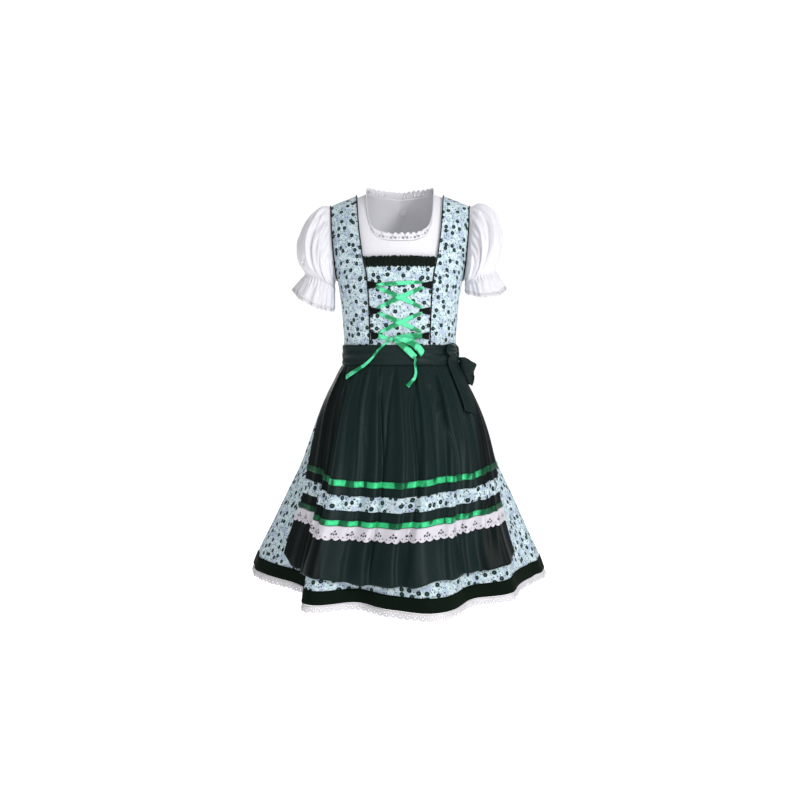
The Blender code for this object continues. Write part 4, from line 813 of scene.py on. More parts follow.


# length of one repeat, holes (place along, distance above the lower edge, radius), colour, strength of the
# painted shade round the holes
laceLooks = {
    "neckLace": (0.0235, [
        (0.0078, 0.0056, 0.0018), (0.0158, 0.0056, 0.0018), (0.0118, 0.0098, 0.0011),
        (0.0000, 0.0070, 0.0010),
        (0.0235, 0.0070, 0.0010)], (0.76, 0.75, 0.80), 0.8),
    "cuffLace": (0.0120, [
        (0.0060, 0.0045, 0.0015), (0.0028, 0.0075, 0.0010), (0.0092, 0.0075, 0.0010),
        (0.0000, 0.0035, 0.0008),
        (0.0120, 0.0035, 0.0008)], (0.76, 0.75, 0.80), 0.8),
    "hemLace": (0.0124, [
        (0.0062, 0.0050, 0.0014), (0.0028, 0.0082, 0.0009), (0.0096, 0.0082, 0.0009),
        (0.0000, 0.0046, 0.0007),
        (0.0124, 0.0046, 0.0007)], (0.76, 0.74, 0.78), 0.50),
    "apronLace": (0.0320, [
        (0.0160, 0.0080, 0.0018), (0.0112, 0.0112, 0.0019), (0.0208, 0.0112, 0.0019),
        (0.0160, 0.0144, 0.0018), (0.0040, 0.0056, 0.0011), (0.0280, 0.0056, 0.0011),
        (0.0120, 0.0048, 0.0009), (0.0200, 0.0048, 0.0009),
    ], (0.70, 0.67, 0.74), 0.4),
}


laceCloth = {"threads": 450.0, "relief": (0.7, 0.0006)}


def makeLace(name, pitch, holes, tint, holeShade):
    finish = Finish(name, tint, 0.85, sheen=0.05, specular=0.2)
    cloth = finish.cloth()
    along = (finish.split(cloth, 0) / pitch).maths("FRACT") * pitch
    v = finish.split(cloth, 1)
    nearest = None
    for at, above, radius in holes:
        dx = along - at
        dy = v - above
        distance = (dx * dx + dy * dy).maths("SQRT") / radius
        nearest = distance if nearest is None else nearest.maths("MINIMUM", distance)
    rim = (nearest - 1.30).maths("ABSOLUTE").below(0.30, 0.15)
    threads = finish.noisy(cloth, 1500.0, 2.0)

    def shaded(share):
        return (*(c * share for c in tint), 1.0)

    finish.set("Alpha", 1 - nearest.below(1.0, 0.10))
    plain = finish.blend(threads, shaded(0.86), shaded(1.0))
    # painted shade: the cloth round each hole darkens, standing in for the shadows of its threads
    finish.set("Base Color", finish.blend(nearest.below(1.35, 0.25) * holeShade, plain, shaded(0.22)))
    woven = finish.weave(cloth, laceCloth["threads"]) * 0.3
    finish.relief(rim + threads * 0.4 + woven, *laceCloth["relief"])
    return finish.material


# name, dark and light colour, roughness, threads for each metre, sheen, specular
plainLooks = {
    "hemBand": ("hemBandCotton", (0.0020, 0.0050, 0.0028), (0.0042, 0.0100, 0.0056), 0.75, 1100.0, 0.0, 0.05),
    "frontBand": ("ruchedSatin", (0.0022, 0.0050, 0.0034), (0.0050, 0.0095, 0.0065), 0.50, 1500.0, 0.0, 0.08),
    "piping": ("blackPiping", (0.0014, 0.0018, 0.0018), (0.0036, 0.0042, 0.0042), 0.5, 1500.0, 0.0, 0.08),
    "cotton": ("whiteCotton", (0.72, 0.71, 0.76), (0.77, 0.76, 0.80), 0.85, 1200.0, 0.05, 0.2),
    "label": ("labelSatin", (0.80, 0.80, 0.82), (0.84, 0.84, 0.85), 0.5, 1500.0, 0.05, 0.2),
}
finishes["print"] = makePrint()
finishes["taffeta"] = makeTaffeta()
finishes["satin"] = makeSatin()
finishes["ribbon"] = makeMetallicRibbon()
for key, values in plainLooks.items():
    finishes[key] = makePlain(*values)
for key, values in laceLooks.items():
    finishes[key] = makeLace(key, *values)
print("finishes made")


# Bodice and blouse

panels = {
    "seam": 0.08,
    "top": 1.9995,
    "strapLevels": (
        0.0, 0.136, 0.33, 0.67, 1.0, 1.03, 1.08, 1.155, 1.27, 1.41, 1.56, 1.70, 1.83, 1.93, 1.9995),
    "backLevels": (0.0, 0.136, 0.33, 0.67, 1.0, 1.03, 1.10, 1.24, 1.40, 1.58, 1.76, 1.90, 1.9995),
    "blouseLevels": (0.70, 1.005, 1.04, 1.09, 1.15, 1.24, 1.40, 1.58, 1.76, 1.90, 1.9995),
    "blouseLift": -0.0048,
    # half width and height of the necklines, from the centre to the shoulder
    "blouseFrontNeck": [
        (0.0, -0.0935), (0.027, -0.0925), (0.0465, -0.0865), (0.060, -0.0730), (0.067, -0.0500),
        (0.0708, -0.0190), (0.0727, 0.0065), (0.0735, 0.0143),
    ],
    "blouseBackNeck": [
        (0.0, 0.0120), (0.016, 0.0122), (0.031, 0.0128), (0.045, 0.0135), (0.0565, 0.0143),
        (0.066, 0.0149), (0.071, 0.0149), (0.0735, 0.0143),
    ],
    "bodiceBackNeck": [
        (0.0, -0.0560), (0.03, -0.0548), (0.056, -0.0490), (0.0745, -0.0345), (0.0832, -0.0175),
        (0.0868, -0.0070), (0.0890, 0.0020), (0.0905, 0.0075),
    ],
    "frontTop": -0.1255,
    "bandLevel": 1.155,
    "wrinkle": 0.0008,
    "blouseWrinkle": 0.0005,
    "neckGather": 0.0009,
    # the blouse reaches past the bodice's armhole by a level and an angle; the label lies under its back
    "blouseRaise": 0.005,
    "blouseWider": 0.2,
    "labelBelow": 0.0024,
    # how many places a yoke has from its centre to the side, and how many of them make the shoulder
    "half": 11,
    "shoulder": 3,
}


def yokePlaces(neck, armhole, levels, back, relax=0):
    # angles and levels of a front or back, ruled between its centre, side, shoulder and neckline
    bottom = levels[0]
    steps = panels["half"] - 1
    share = panels["shoulder"] / steps
    top = panels["top"]
    neckPlaces = [placeOnBody(x, z) for x, z in neck[:-1]]
    neckPlaces.append((placeOnBody(neck[-1][0], shoulderHeight(neck[-1][0]))[0], top))
    tip = armhole(2.0) - panels["seam"]

    def topPlace(u):
        if u >= 1.0 - share:
            return mix(neckPlaces[-1][0], tip, (u - 1.0 + share) / share), top
        part = u / (1.0 - share) * (len(neckPlaces) - 1)
        i = min(int(part), len(neckPlaces) - 2)
        return tuple(mix(neckPlaces[i][k], neckPlaces[i + 1][k], part - i) for k in (0, 1))

    centreLevel = topPlace(0.0)[1]
    side = 90.0 - panels["seam"]
    corners = [(0.0, bottom), (side, bottom), (0.0, centreLevel), topPlace(1.0)]
    rows = []
    for edgeLevel in reversed(levels):
        v = (edgeLevel - bottom) / (top - bottom)
        centre = (0.0, mix(bottom, centreLevel, v))
        edge = (armhole(edgeLevel) - panels["seam"], edgeLevel)
        line = []
        for c in range(steps + 1):
            u = c / steps
            low = (side * u, bottom)
            high = topPlace(u)
            place = []
            for k in (0, 1):
                ruled = (1 - u) * centre[k] + u * edge[k] + (1 - v) * low[k] + v * high[k]
                flatLow = (1 - u) * corners[0][k] + u * corners[1][k]
                flatHigh = (1 - u) * corners[2][k] + u * corners[3][k]
                place.append(ruled - ((1 - v) * flatLow + v * flatHigh))
            line.append((place[0], min(place[1], top)))
        whole = [(-angle, level) for angle, level in reversed(line[1:])] + line
        rows.append([(180.0 + angle, level) for angle, level in whole] if back else whole)
    for _ in range(relax):
        fresh = [list(row) for row in rows]
        for r in range(1, len(rows) - 1):
            for c in range(1, len(rows[0]) - 1):
                near = (rows[r - 1][c], rows[r + 1][c], rows[r][c - 1], rows[r][c + 1])
                fresh[r][c] = tuple(sum(place[k] for place in near) / 4.0 for k in (0, 1))
        rows = fresh
    return rows


def panelPlace(rows, u, v):
    # a smooth angle and level between the places of a panel, read from the few rows near them
    down = v * (len(rows) - 1)
    first = clamped(int(down) - 1, 0, max(len(rows) - 4, 0))
    across = u * (len(rows[0]) - 1)
    place = []
    for k in (0, 1):
        column = [readRow([spot[k] for spot in row], across) for row in rows[first:first + 4]]
        place.append(readRow(column, down - first))
    return place[0], min(place[1], panels["top"])


def wornSurface(rows, lift, wrinkle, creases=(), gathers=None):
    def place(u, v):
        angle, level = panelPlace(rows, u, v)
        extra = creased(creases, u, v)
        calm = bump(u - 0.5, 0.62) * bump(v - 0.5, 0.62)
        extra += wrinkle * softNoise(angle * 0.05, level * 3.0, 4.0) * calm
        if gathers:
            extra += gathers(v, angle)
        return bodyPoint(angle, level, lift) + bodyNormal(angle, level, lift) * extra
    return place


def sidePanelRows(side, columns=7):
    rows = []
    for level in reversed(panels["strapLevels"]):
        seam = frontSeam(level) + panels["seam"]
        edge = frontArmhole(level) - panels["seam"]
        line = [(mix(seam, edge, c / (columns - 1)) * side, level) for c in range(columns)]
        rows.append(line[::-1] if side < 0 else line)
    return rows


# creases: across and down of both ends, width, depth
bodiceCreases = {
    "left": [
        (0.10, 0.60, 0.80, 0.66, 0.05, 0.0012), (0.15, 0.74, 0.95, 0.78, 0.05, -0.0012),
        (0.20, 0.86, 0.90, 0.84, 0.04, 0.0014), (0.55, 0.40, 0.95, 0.52, 0.05, -0.0010),
        (0.10, 0.93, 0.70, 0.95, 0.04, -0.0012),
    ],
    "right": [
        (0.20, 0.64, 0.90, 0.58, 0.05, 0.0012), (0.05, 0.77, 0.85, 0.72, 0.05, -0.0013),
        (0.10, 0.85, 0.75, 0.88, 0.04, 0.0013), (0.05, 0.50, 0.50, 0.40, 0.05, -0.0010),
        (0.25, 0.95, 0.90, 0.92, 0.04, -0.0012),
    ],
    "centre": [
        (0.05, 0.35, 0.45, 0.50, 0.06, 0.0008), (0.95, 0.40, 0.50, 0.52, 0.06, 0.0008),
        (0.10, 0.80, 0.90, 0.76, 0.05, -0.0008),
    ],
    "back": [
        (0.30, 0.75, 0.70, 0.78, 0.05, 0.0014), (0.15, 0.84, 0.45, 0.88, 0.04, -0.0014),
        (0.55, 0.88, 0.85, 0.83, 0.04, -0.0014), (0.20, 0.60, 0.40, 0.70, 0.04, 0.0010),
        (0.62, 0.72, 0.82, 0.60, 0.04, 0.0010),
    ],
}
centreRows = []
for level in reversed([level for level in panels["strapLevels"] if level <= panels["bandLevel"]]):
    seam = frontSeam(level) - panels["seam"]
    centreRows.append([(mix(-seam, seam, c / 8), level) for c in range(9)])
centreRows[0] = [(angle, upperLevel(angle, panels["frontTop"])) for angle, _ in centreRows[0]]
backRows = yokePlaces(panels["bodiceBackNeck"], backArmhole, panels["backLevels"], True, relax=2)
for node, rows, key, columns, down in (
    ("bodice_side_left", sidePanelRows(1), "left", 30, 84),
    ("bodice_side_right", sidePanelRows(-1), "right", 30, 84),
    ("bodice_centre_front", centreRows, "centre", 40, 50),
    ("bodice_back", backRows, "back", 100, 84),
):
    place = wornSurface(rows, 0.0, panels["wrinkle"], bodiceCreases[key])
    clothPiece(node, "print", place, columns, down)
print("bodice made")


def widerEdge(rows):
    wider = []
    for level, angle in rows:
        raised = level + panels["blouseRaise"] * (level >= 1.0)
        wider.append((raised, min(angle + panels["blouseWider"], 90.0)))
    return curveThrough(wider)


def neckGathers(v, angle):
    # little gathers of the front, held by the neckline's lace
    near = turns(angle * 0.22 + 0.4 * math.sin(angle * 0.31))
    return panels["neckGather"] * near * math.exp(-v * 7.0) * bump(angle, 30.0) * smoothStep(v * 20.0)


def blouseSurface(word, back, gathers=None):
    armhole = widerEdge(body[word + "Armhole"])
    neck = panels["blouse" + word.capitalize() + "Neck"]
    rows = yokePlaces(neck, armhole, panels["blouseLevels"], back)
    return wornSurface(rows, panels["blouseLift"], panels["blouseWrinkle"], gathers=gathers)


blouseFrontPlace = blouseSurface("front", False, neckGathers)
blouseBackPlace = blouseSurface("back", True)
blouseFront = clothPiece("blouse_front", "cotton", blouseFrontPlace, 120, 70)
blouseBack = clothPiece("blouse_back", "cotton", blouseBackPlace, 100, 60)


def neckEdge(count):
    # the round of the neck: over the front from the right shoulder to the left, then back
    share = panels["shoulder"] / (2 * panels["half"] - 2)
    points = []
    for place in (blouseFrontPlace, blouseBackPlace):
        for i in range(count):
            u = mix(share, 1.0 - share, i / count)
            inside = (place(u, 0.03) - place(u, 0.0)).normalized()
            points.append((place(u, 0.0), -inside))
    return points


neckLook = {
    "points": 150, "height": 0.0158, "scallop": 0.0030, "gap": 0.0008, "ruffle": 0.0011, "uneven": 0.0014,
    "leanOut": 0.55, "standUp": 0.85,
}


def makeNeckLace():
    look = neckLook
    pitch = laceLooks["neckLace"][0]
    edge = neckEdge(look["points"])
    count = len(edge)
    lengths = [0.0]
    for i in range(count):
        lengths.append(lengths[-1] + (edge[(i + 1) % count][0] - edge[i][0]).length)
    repeats = round(lengths[-1] / pitch)

    def place(u, v):
        target = u * lengths[-1]
        i = min(bisect.bisect_right(lengths, target) - 1, count - 1)
        part = (target - lengths[i]) / max(lengths[i + 1] - lengths[i], 1e-9)
        here, across = edge[i]
        there, acrossNext = edge[(i + 1) % count]
        point = here.lerp(there, part)
        side = across.lerp(acrossNext, part).normalized()
        # it lies down at both sides of the front
        flat = smoothStep(abs(side.x) * 1.3) * smoothStep(-point.y / 0.05)
        rise = Vector((0.0, 0.0, look["standUp"] - 0.40 * flat))
        stand = (side * (look["leanOut"] + 0.75 * flat) + rise).normalized()
        reach = look["height"] - look["scallop"] * (1.0 - scallop(u, 2.0 * repeats))
        ruffle = look["ruffle"] * math.sin(math.tau * repeats * u * 2.0 + 1.3 * math.sin(u * 31.0))
        ruffle += look["uneven"] * softNoise(u * 24.0, 1.0)
        return point + side * look["gap"] + stand * (reach * (1.0 - v)) + side * ruffle * (1.0 - v)

    return clothPiece("neck_lace", "neckLace", place, repeats * 24, 6, closed=True,
                      uvSize=(repeats * pitch, look["height"]))


def makeLabel():
    low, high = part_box("neck_label")

    def place(u, v):
        angle, level = placeOnBody(mix(high[0], low[0], u), mix(high[2], low[2], v))
        return bodyPoint(180.0 - angle, level, panels["blouseLift"] - panels["labelBelow"])

    return clothPiece("neck_label", "label", place, 12, 10, thickness=wall["lace"])


neckLace = makeNeckLace()
label = makeLabel()
print("blouse made")

bandLook = {
    "top": -0.1262, "bottom": -0.1463, "inside": 0.9, "lift": 0.0014, "folds": 17, "fold": 0.0017,
    "edgeWave": 0.0012, "edgeRipple": 0.0006, "middleRise": 0.0012, "sink": 0.0010,
}


def makeFrontBand():
    look = bandLook

    def edgeAngle(height):
        return frontSeam(upperLevel(frontSeam(panels["bandLevel"]), height)) - look["inside"]

    edge = edgeAngle(look["top"])
    lowEdge = edgeAngle(look["bottom"])

    def place(u, v):
        angle = mix(-1.0, 1.0, u) * mix(edge, lowEdge, v)
        gather = look["folds"] * u + 0.45 * softNoise(u * 9.0, v * 1.2) + 0.30 * math.sin(u * 23.0)
        fold = math.sin(math.tau * gather)
        second = math.sin(math.tau * (look["folds"] * 1.9 * u + 0.6 * softNoise(u * 14.0, v * 3.0, 7.0)))
        strength = 0.65 + 0.5 * softNoise(u * 7.0, 2.0)
        shape = (0.62 * (0.5 + 0.5 * fold) ** 0.8 + 0.28 * (0.5 + 0.5 * second)) * strength
        puff = 0.40 + 0.60 * math.sin(math.pi * clamped(v, 0.02, 0.98)) ** 0.5
        height = mix(look["top"], look["bottom"], v)
        height += (look["edgeWave"] * fold + look["edgeRipple"] * second) * (1.0 - 2.0 * v)
        height += look["middleRise"] * bump(u - 0.5, 0.55) * (1.0 - v) - look["sink"]
        level = upperLevel(angle, height)
        stand = look["lift"] + look["fold"] * 2.0 * shape * puff
        return bodyPoint(angle, level) + bodyNormal(angle, level) * stand

    return clothPiece("front_band", "frontBand", place, 300, 14, thickness=wall["lace"])


frontBand = makeFrontBand()

pipingLook = {"radius": 0.0011, "lift": 0.0020, "outward": -0.0016, "from": 0.136, "neckDrop": 0.004}


def armholeLoop(side, lift, count, outward):
    places = []
    half = count // 2
    for i in range(count):
        part = i / half if i <= half else (count - i) / half
        level = 2.0 - smoothStep(part) * 0.35 - part * 0.65
        angle = frontArmhole(level) if i <= half else 180.0 - backArmhole(level)
        places.append((side * angle, level))
    path = [bodyPoint(angle, level, lift) for angle, level in places]
    normals = [bodyNormal(angle, level, lift) for angle, level in places]
    centre = sum(path, Vector()) / count
    shifted = []
    for i in range(count):
        along = (path[(i + 1) % count] - path[i - 1]).normalized()
        across = along.cross(normals[i]).normalized()
        if across.dot(centre - path[i]) < 0.0:
            across = -across
        shifted.append(path[i] + across * outward)
    return shifted


def makePipings():
    look = pipingLook
    for word, side in (("left", 1), ("right", -1)):
        levels = [mix(look["from"], 2.0, i / 60) for i in range(61)]
        places = [(side * frontSeam(level), level) for level in levels]
        neck = [placeOnBody(x, z) for x, z in panels["bodiceBackNeck"][-2::-1]]
        neck[-1] = (panels["seam"], neck[-1][1])
        shoulder = frontSeam(2.0)
        for share in (0.18, 0.42, 0.70):
            places.append((side * (180.0 - mix(shoulder, neck[0][0], share)), mix(2.0, neck[0][1], share)))
        places += [(side * (180.0 - angle), level - look["neckDrop"]) for angle, level in neck]
        points = [bodyPoint(angle, level, look["lift"]) for angle, level in places]
        path = points[:56] + smoothPath(points[56:], 8)
        cordPiece("neckline_piping_" + word, "piping", path, look["radius"])
        loop = armholeLoop(side, look["lift"], 120, look["outward"])
        cordPiece("armhole_piping_" + word, "piping", loop, look["radius"], closed=True)


makePipings()
print("pipings made")


# Sleeves

sleeves = {
    "columns": 28,
    "inner": -0.0048,
    "outer": 0.0035,
    "clear": 0.0026,
    "ruffleWaves": 7,
    "ruffleDepth": 0.075,
    "faces": (196, 110),
    "step": 0.004,
    # outer x and z, inner x and z, half depth, hold, droop
    "right": [
        (0.1505, -0.0135, 0.1340, -0.1655, 0.033, 1.00, 0.000),
        (0.1680, -0.0190, 0.1362, -0.1690, 0.046, 0.60, 0.000),
        (0.1930, -0.0420, 0.1366, -0.1725, 0.056, 0.25, 0.000),
        (0.2095, -0.0740, 0.1368, -0.1755, 0.060, 0.08, 0.000),
        (0.2160, -0.1060, 0.1370, -0.1785, 0.057, 0.00, 0.000),
        (0.2110, -0.1350, 0.1375, -0.1815, 0.047, 0.00, 0.000),
        (0.1975, -0.1550, 0.1380, -0.1845, 0.034, 0.00, 0.000),
        (0.2060, -0.1680, 0.1378, -0.2000, 0.040, 0.00, 0.006),
        (0.2180, -0.1830, 0.1378, -0.2200, 0.046, 0.00, 0.014),
        (0.2225, -0.1925, 0.1380, -0.2300, 0.047, 0.00, 0.019),
    ],
    "left": [
        (0.1505, -0.0135, 0.1340, -0.1655, 0.033, 1.00, 0.000),
        (0.1700, -0.0100, 0.1362, -0.1675, 0.046, 0.60, 0.000),
        (0.1960, -0.0240, 0.1366, -0.1692, 0.056, 0.25, 0.000),
        (0.2105, -0.0560, 0.1368, -0.1707, 0.059, 0.08, 0.000),
        (0.2130, -0.0900, 0.1370, -0.1722, 0.056, 0.00, 0.000),
        (0.2090, -0.1220, 0.1375, -0.1737, 0.046, 0.00, 0.000),
        (0.1985, -0.1460, 0.1380, -0.1752, 0.034, 0.00, 0.000),
        (0.2060, -0.1620, 0.1378, -0.1785, 0.040, 0.00, 0.006),
        (0.2170, -0.1800, 0.1378, -0.1832, 0.045, 0.00, 0.015),
        (0.2215, -0.1900, 0.1380, -0.1880, 0.046, 0.00, 0.018),
    ],
    # long creases on the puff: turn and share along of both ends, width, depth
    "creases": [
        (0.02, 0.20, 0.14, 0.62, 0.020, -0.0042), (0.09, 0.16, 0.22, 0.55, 0.018, 0.0030),
        (0.15, 0.22, 0.27, 0.60, 0.020, -0.0046), (0.21, 0.18, 0.31, 0.50, 0.018, 0.0030),
        (0.27, 0.30, 0.34, 0.62, 0.018, -0.0040), (0.33, 0.20, 0.42, 0.56, 0.018, 0.0026),
        (0.93, 0.22, 0.98, 0.62, 0.020, -0.0040), (0.84, 0.18, 0.90, 0.56, 0.018, 0.0028),
        (0.76, 0.25, 0.80, 0.62, 0.020, -0.0042), (0.66, 0.20, 0.72, 0.58, 0.018, -0.0036),
        (0.58, 0.28, 0.62, 0.60, 0.018, 0.0026), (0.47, 0.24, 0.50, 0.58, 0.018, -0.0030),
        (0.05, 0.42, 0.20, 0.66, 0.014, 0.0026), (0.18, 0.46, 0.12, 0.66, 0.013, -0.0028),
    ],
    "deeper": 1.9,
    # gathers for one turn at the armhole, at the pinch and in the ruffle
    "gathers": (25, 36, 17),
    "gatherHeight": 0.0020,
    "pinch": 0.727,
    "pinchWidth": 0.055,
    "laceGap": 0.0006,
    "laceHeight": 0.0100,
    "laceScallop": 0.0026,
    "laceLift": 0.0115,
}


def sleeveRings(side, table):
    count = sleeves["columns"]
    inner = armholeLoop(side, sleeves["inner"], count, sleeves["clear"])
    outer = armholeLoop(side, sleeves["outer"], count, sleeves["clear"])
    rings = [inner, outer]
    first = None
    for index, (outerX, outerZ, innerX, innerZ, halfDepth, hold, droop) in enumerate(table):
        top = Vector((outerX * side, 0.0, outerZ))
        under = Vector((innerX * side, 0.0, innerZ))
        centre = (top + under) / 2.0
        reach = (top - under) / 2.0
        spread = max(index - 6, 0) / 3
        ring = []
        for i in range(count):
            turn = math.tau * i / count
            point = centre + reach * math.cos(turn)
            point.y -= halfDepth * math.sin(turn)
            point.z -= droop * max(math.sin(turn), 0.0)
            ruffle = 1.0 + sleeves["ruffleDepth"] * spread * math.cos(sleeves["ruffleWaves"] * turn)
            point = centre + (point - centre) * ruffle
            if abs(point.x) < innerX and abs(point.y) < 0.02:
                point.x = innerX * side
            ring.append(point)
        if first is None:
            first = ring
            continue
        rings.append([point + (loop - start) * hold for point, loop, start in zip(ring, outer, first)])
    return rings


def ringPoint(rings, turn, down):
    # a smooth point round (turn 0 to 1) and along (down 0 to 1) the rings of a sleeve
    count = len(rings[0])
    spot = (turn % 1.0) * count
    i = int(spot) % count
    t = spot - int(spot)
    last = len(rings) - 1
    position = down * last
    r = min(int(position), last - 1)
    near = [rings[clamped(r + k, 0, last)] for k in (-1, 0, 1, 2)]
    row = [rounded(*(ring[(i + k) % count] for k in (-1, 0, 1, 2)), t) for ring in near]
    return rounded(*row, position - r)


def makeSleeve(word, side):
    rings = sleeveRings(side, sleeves[word])
    lastCloth = (len(rings) - 2) / (len(rings) - 1)
    atArmhole, atPinch, inRuffle = sleeves["gathers"]

    def surface(u, along):
        turn = 1.0 - u if side > 0 else u
        step = sleeves["step"]
        across = ringPoint(rings, turn + step, along) - ringPoint(rings, turn - step, along)
        above = ringPoint(rings, turn, max(along - step, 0.0))
        down = ringPoint(rings, turn, min(along + step, 1.0)) - above
        normal = across.cross(down).normalized() * side
        top = smoothStep((along - 0.12) / 0.05) * (1.0 - smoothStep((along - 0.20) / 0.24))
        gather = top * turns(atArmhole * turn + 0.5 * math.sin(math.tau * 3 * turn))
        near = math.exp(-((along - sleeves["pinch"]) / sleeves["pinchWidth"]) ** 2)
        gather += near * turns(atPinch * turn + 0.4 * math.sin(math.tau * 2 * turn))
        fan = smoothStep((along - sleeves["pinch"]) / 0.1)
        gather += 0.7 * fan * turns(inRuffle * turn + 0.3 * math.sin(math.tau * 3 * turn))
        height = sleeves["gatherHeight"] * gather * smoothStep((along - 0.10) / 0.06)
        for shift in (-1.0, 0.0, 1.0):
            height += sleeves["deeper"] * creased(sleeves["creases"], turn + shift, along)
        return ringPoint(rings, turn, along) + normal * height

    def clothPlace(u, v):
        return surface(u, v * lastCloth)

    columns, rows = sleeves["faces"]
    sleeve = clothPiece("sleeve_" + word, "cotton", clothPlace, columns, rows, closed=True)
    edge = [surface(i / columns, lastCloth) for i in range(columns)]
    around = sum((edge[i] - edge[i - 1]).length for i in range(columns))
    pitch = laceLooks["cuffLace"][0]
    repeats = round(around / pitch)

    def lacePlace(u, v):
        start = surface(u, lastCloth)
        along = (start - surface(u, lastCloth - 0.02)).normalized()
        height = sleeves["laceHeight"] - sleeves["laceScallop"] * (1.0 - scallop(u, repeats))
        return start + along * (sleeves["laceGap"] + v * height)

    lace = clothPiece("cuff_lace_" + word, "cuffLace", lacePlace, repeats * 9, 5, closed=True,
                      uvSize=(repeats * pitch, sleeves["laceLift"]), thickness=wall["lace"])
    pieceName("bodice_side_" + word)


makeSleeve("left", 1)
makeSleeve("right", -1)
print("sleeves made")


# Skirt

skirtLook = {
    "columns": 210, "rows": 96, "pattern": 0.50, "bandLift": 0.0015, "scallop": 0.0030, "lace": 0.0130,
    "laceUnder": 0.0008, "sway": 0.0012, "smallSway": 0.0006,
}


def makeSkirt():
    look = skirtLook
    pitch = laceLooks["hemLace"][0]
    for word, first in (("front", -90.0), ("back", 90.0)):
        def angleAt(u):
            return first + 0.04 + 179.92 * u

        def clothPlace(u, v):
            angle = angleAt(u)
            return skirtPoint(angle, mix(skirt["top"], hemHeight(wrapped(angle)), v))

        def bandPlace(u, v):
            angle = angleAt(u)
            hem = hemHeight(wrapped(angle))
            return skirtPoint(angle, mix(hem + skirt["bandHeight"], hem, v))

        girth = sum((clothPlace((i + 1) / 90, 1.0) - clothPlace(i / 90, 1.0)).length for i in range(90))
        repeats = round(girth / pitch)

        def lacePlace(u, v):
            angle = angleAt(u)
            hem = hemHeight(wrapped(angle))
            end = hem - skirt["laceHeight"] + look["scallop"] * (1.0 - scallop(u, repeats))
            outward = Vector((math.sin(math.radians(angle)), -math.cos(math.radians(angle)), 0.0))
            sway = look["sway"] * v * math.sin(angle * 0.9) + look["smallSway"] * v * math.sin(angle * 3.1)
            return skirtPoint(angle, mix(hem - look["laceUnder"], end, v)) + outward * sway

        cloth = clothPiece("skirt_" + word, "print", clothPlace, look["columns"], look["rows"],
                           uvSize=(girth, look["pattern"]))
        band = clothPiece("hem_band_" + word, "hemBand", bandPlace, look["columns"], 7, lift=look["bandLift"])
        lace = clothPiece("hem_lace_" + word, "hemLace", lacePlace, repeats * 6, 5,
                          uvSize=(repeats * pitch, look["lace"]), thickness=wall["lace"])


makeSkirt()
print("skirt made")


# Apron

apronLook = {
    "columns": 230,
    "rows": 120,
    "trimLift": 0.0015,
    # node, finish, upper and lower edge above the trims' line, rows of faces
    "trims": [
        ("apron_ribbon_upper", "ribbon", 0.1800, 0.1685, 4),
        ("apron_print_band", "print", 0.1520, 0.1252, 8),
        ("apron_ribbon_lower", "ribbon", 0.1072, 0.0972, 4),
    ],
    "lace": (0.0964, 0.0715),
    "laceLift": 0.0016,
    "laceFall": 0.0008,
    "lacePattern": 0.0257,
    "scallop": 0.0046,
}


def makeApron():
    look = apronLook
    columns = look["columns"]

    def clothPlace(u, v):
        return apronPoint(u, mix(apron["top"], apronHem(u), v))

    cloth = clothPiece("apron", "taffeta", clothPlace, columns, look["rows"])
    girth = sum((clothPlace((i + 1) / 90, 0.8) - clothPlace(i / 90, 0.8)).length for i in range(90))

    def trimPlace(high, low):
        return lambda u, v: apronPoint(u, apronLine(u) + mix(high, low, v))

    for node, finish, high, low, rows in look["trims"]:
        pattern = ribbonLook["width"] if finish == "ribbon" else high - low
        clothPiece(node, finish, trimPlace(high, low), columns, rows,
                                lift=look["trimLift"], uvSize=(girth, pattern))
    pitch = laceLooks["apronLace"][0]
    repeats = round(girth / pitch)

    def lacePlace(u, v):
        end = look["lace"][1] + look["scallop"] * (1.0 - scallop(u, 2 * repeats, 0.75))
        return apronPoint(u, apronLine(u) + mix(look["lace"][0], end, v), look["laceFall"] * v)

    clothPiece("apron_lace", "apronLace", lacePlace, repeats * 32, 9, lift=look["laceLift"],
                            thickness=wall["lace"], uvSize=(repeats * pitch, look["lacePattern"]))


makeApron()
print("apron made")

waist = {
    "top": -0.3043, "bottom": -0.3447, "lift": 0.0030, "flare": 0.0006, "rise": 0.0042,
    "folds": 0.0007, "foldCount": 2.4, "uneven": 0.0009,
    # angle, width round, share down, width down, depth
    "creases": [(46.0, 16.0, 0.42, 0.14, 0.0014), (48.0, 18.0, 0.85, 0.12, 0.0012)],
}


def makeWaistband():
    for node, first in (("apron_waistband", -90.0), ("apron_tie_back", 90.0)):
        def place(u, v):
            angle = first + mix(0.08, 179.92, u)
            rise = waist["rise"] * bump(wrapped(angle) - 64.0, 18.0)
            level = levelAt(mix(waist["top"] + rise, waist["bottom"], v))
            pull = math.sin(math.pi * clamped(v))
            fold = math.sin(math.tau * (v * waist["foldCount"] + 0.5 * softNoise(angle * 0.035, v)))
            fold = pull * (waist["folds"] * fold + waist["uneven"] * softNoise(angle * 0.06, v * 3.5, 3.0))
            for at, wide, down, tall, depth in waist["creases"]:
                fold -= depth * bump(angle - at, wide) * bump(v - down, tall)
            flare = waist["flare"] * smoothStep((v - 0.6) / 0.4)
            return bodyPoint(angle, level, waist["lift"] + fold + flare)

        made = clothPiece(node, "taffeta", place, 150, 16)


makeWaistband()
print("waistband made")


# Lacing, bow and ties

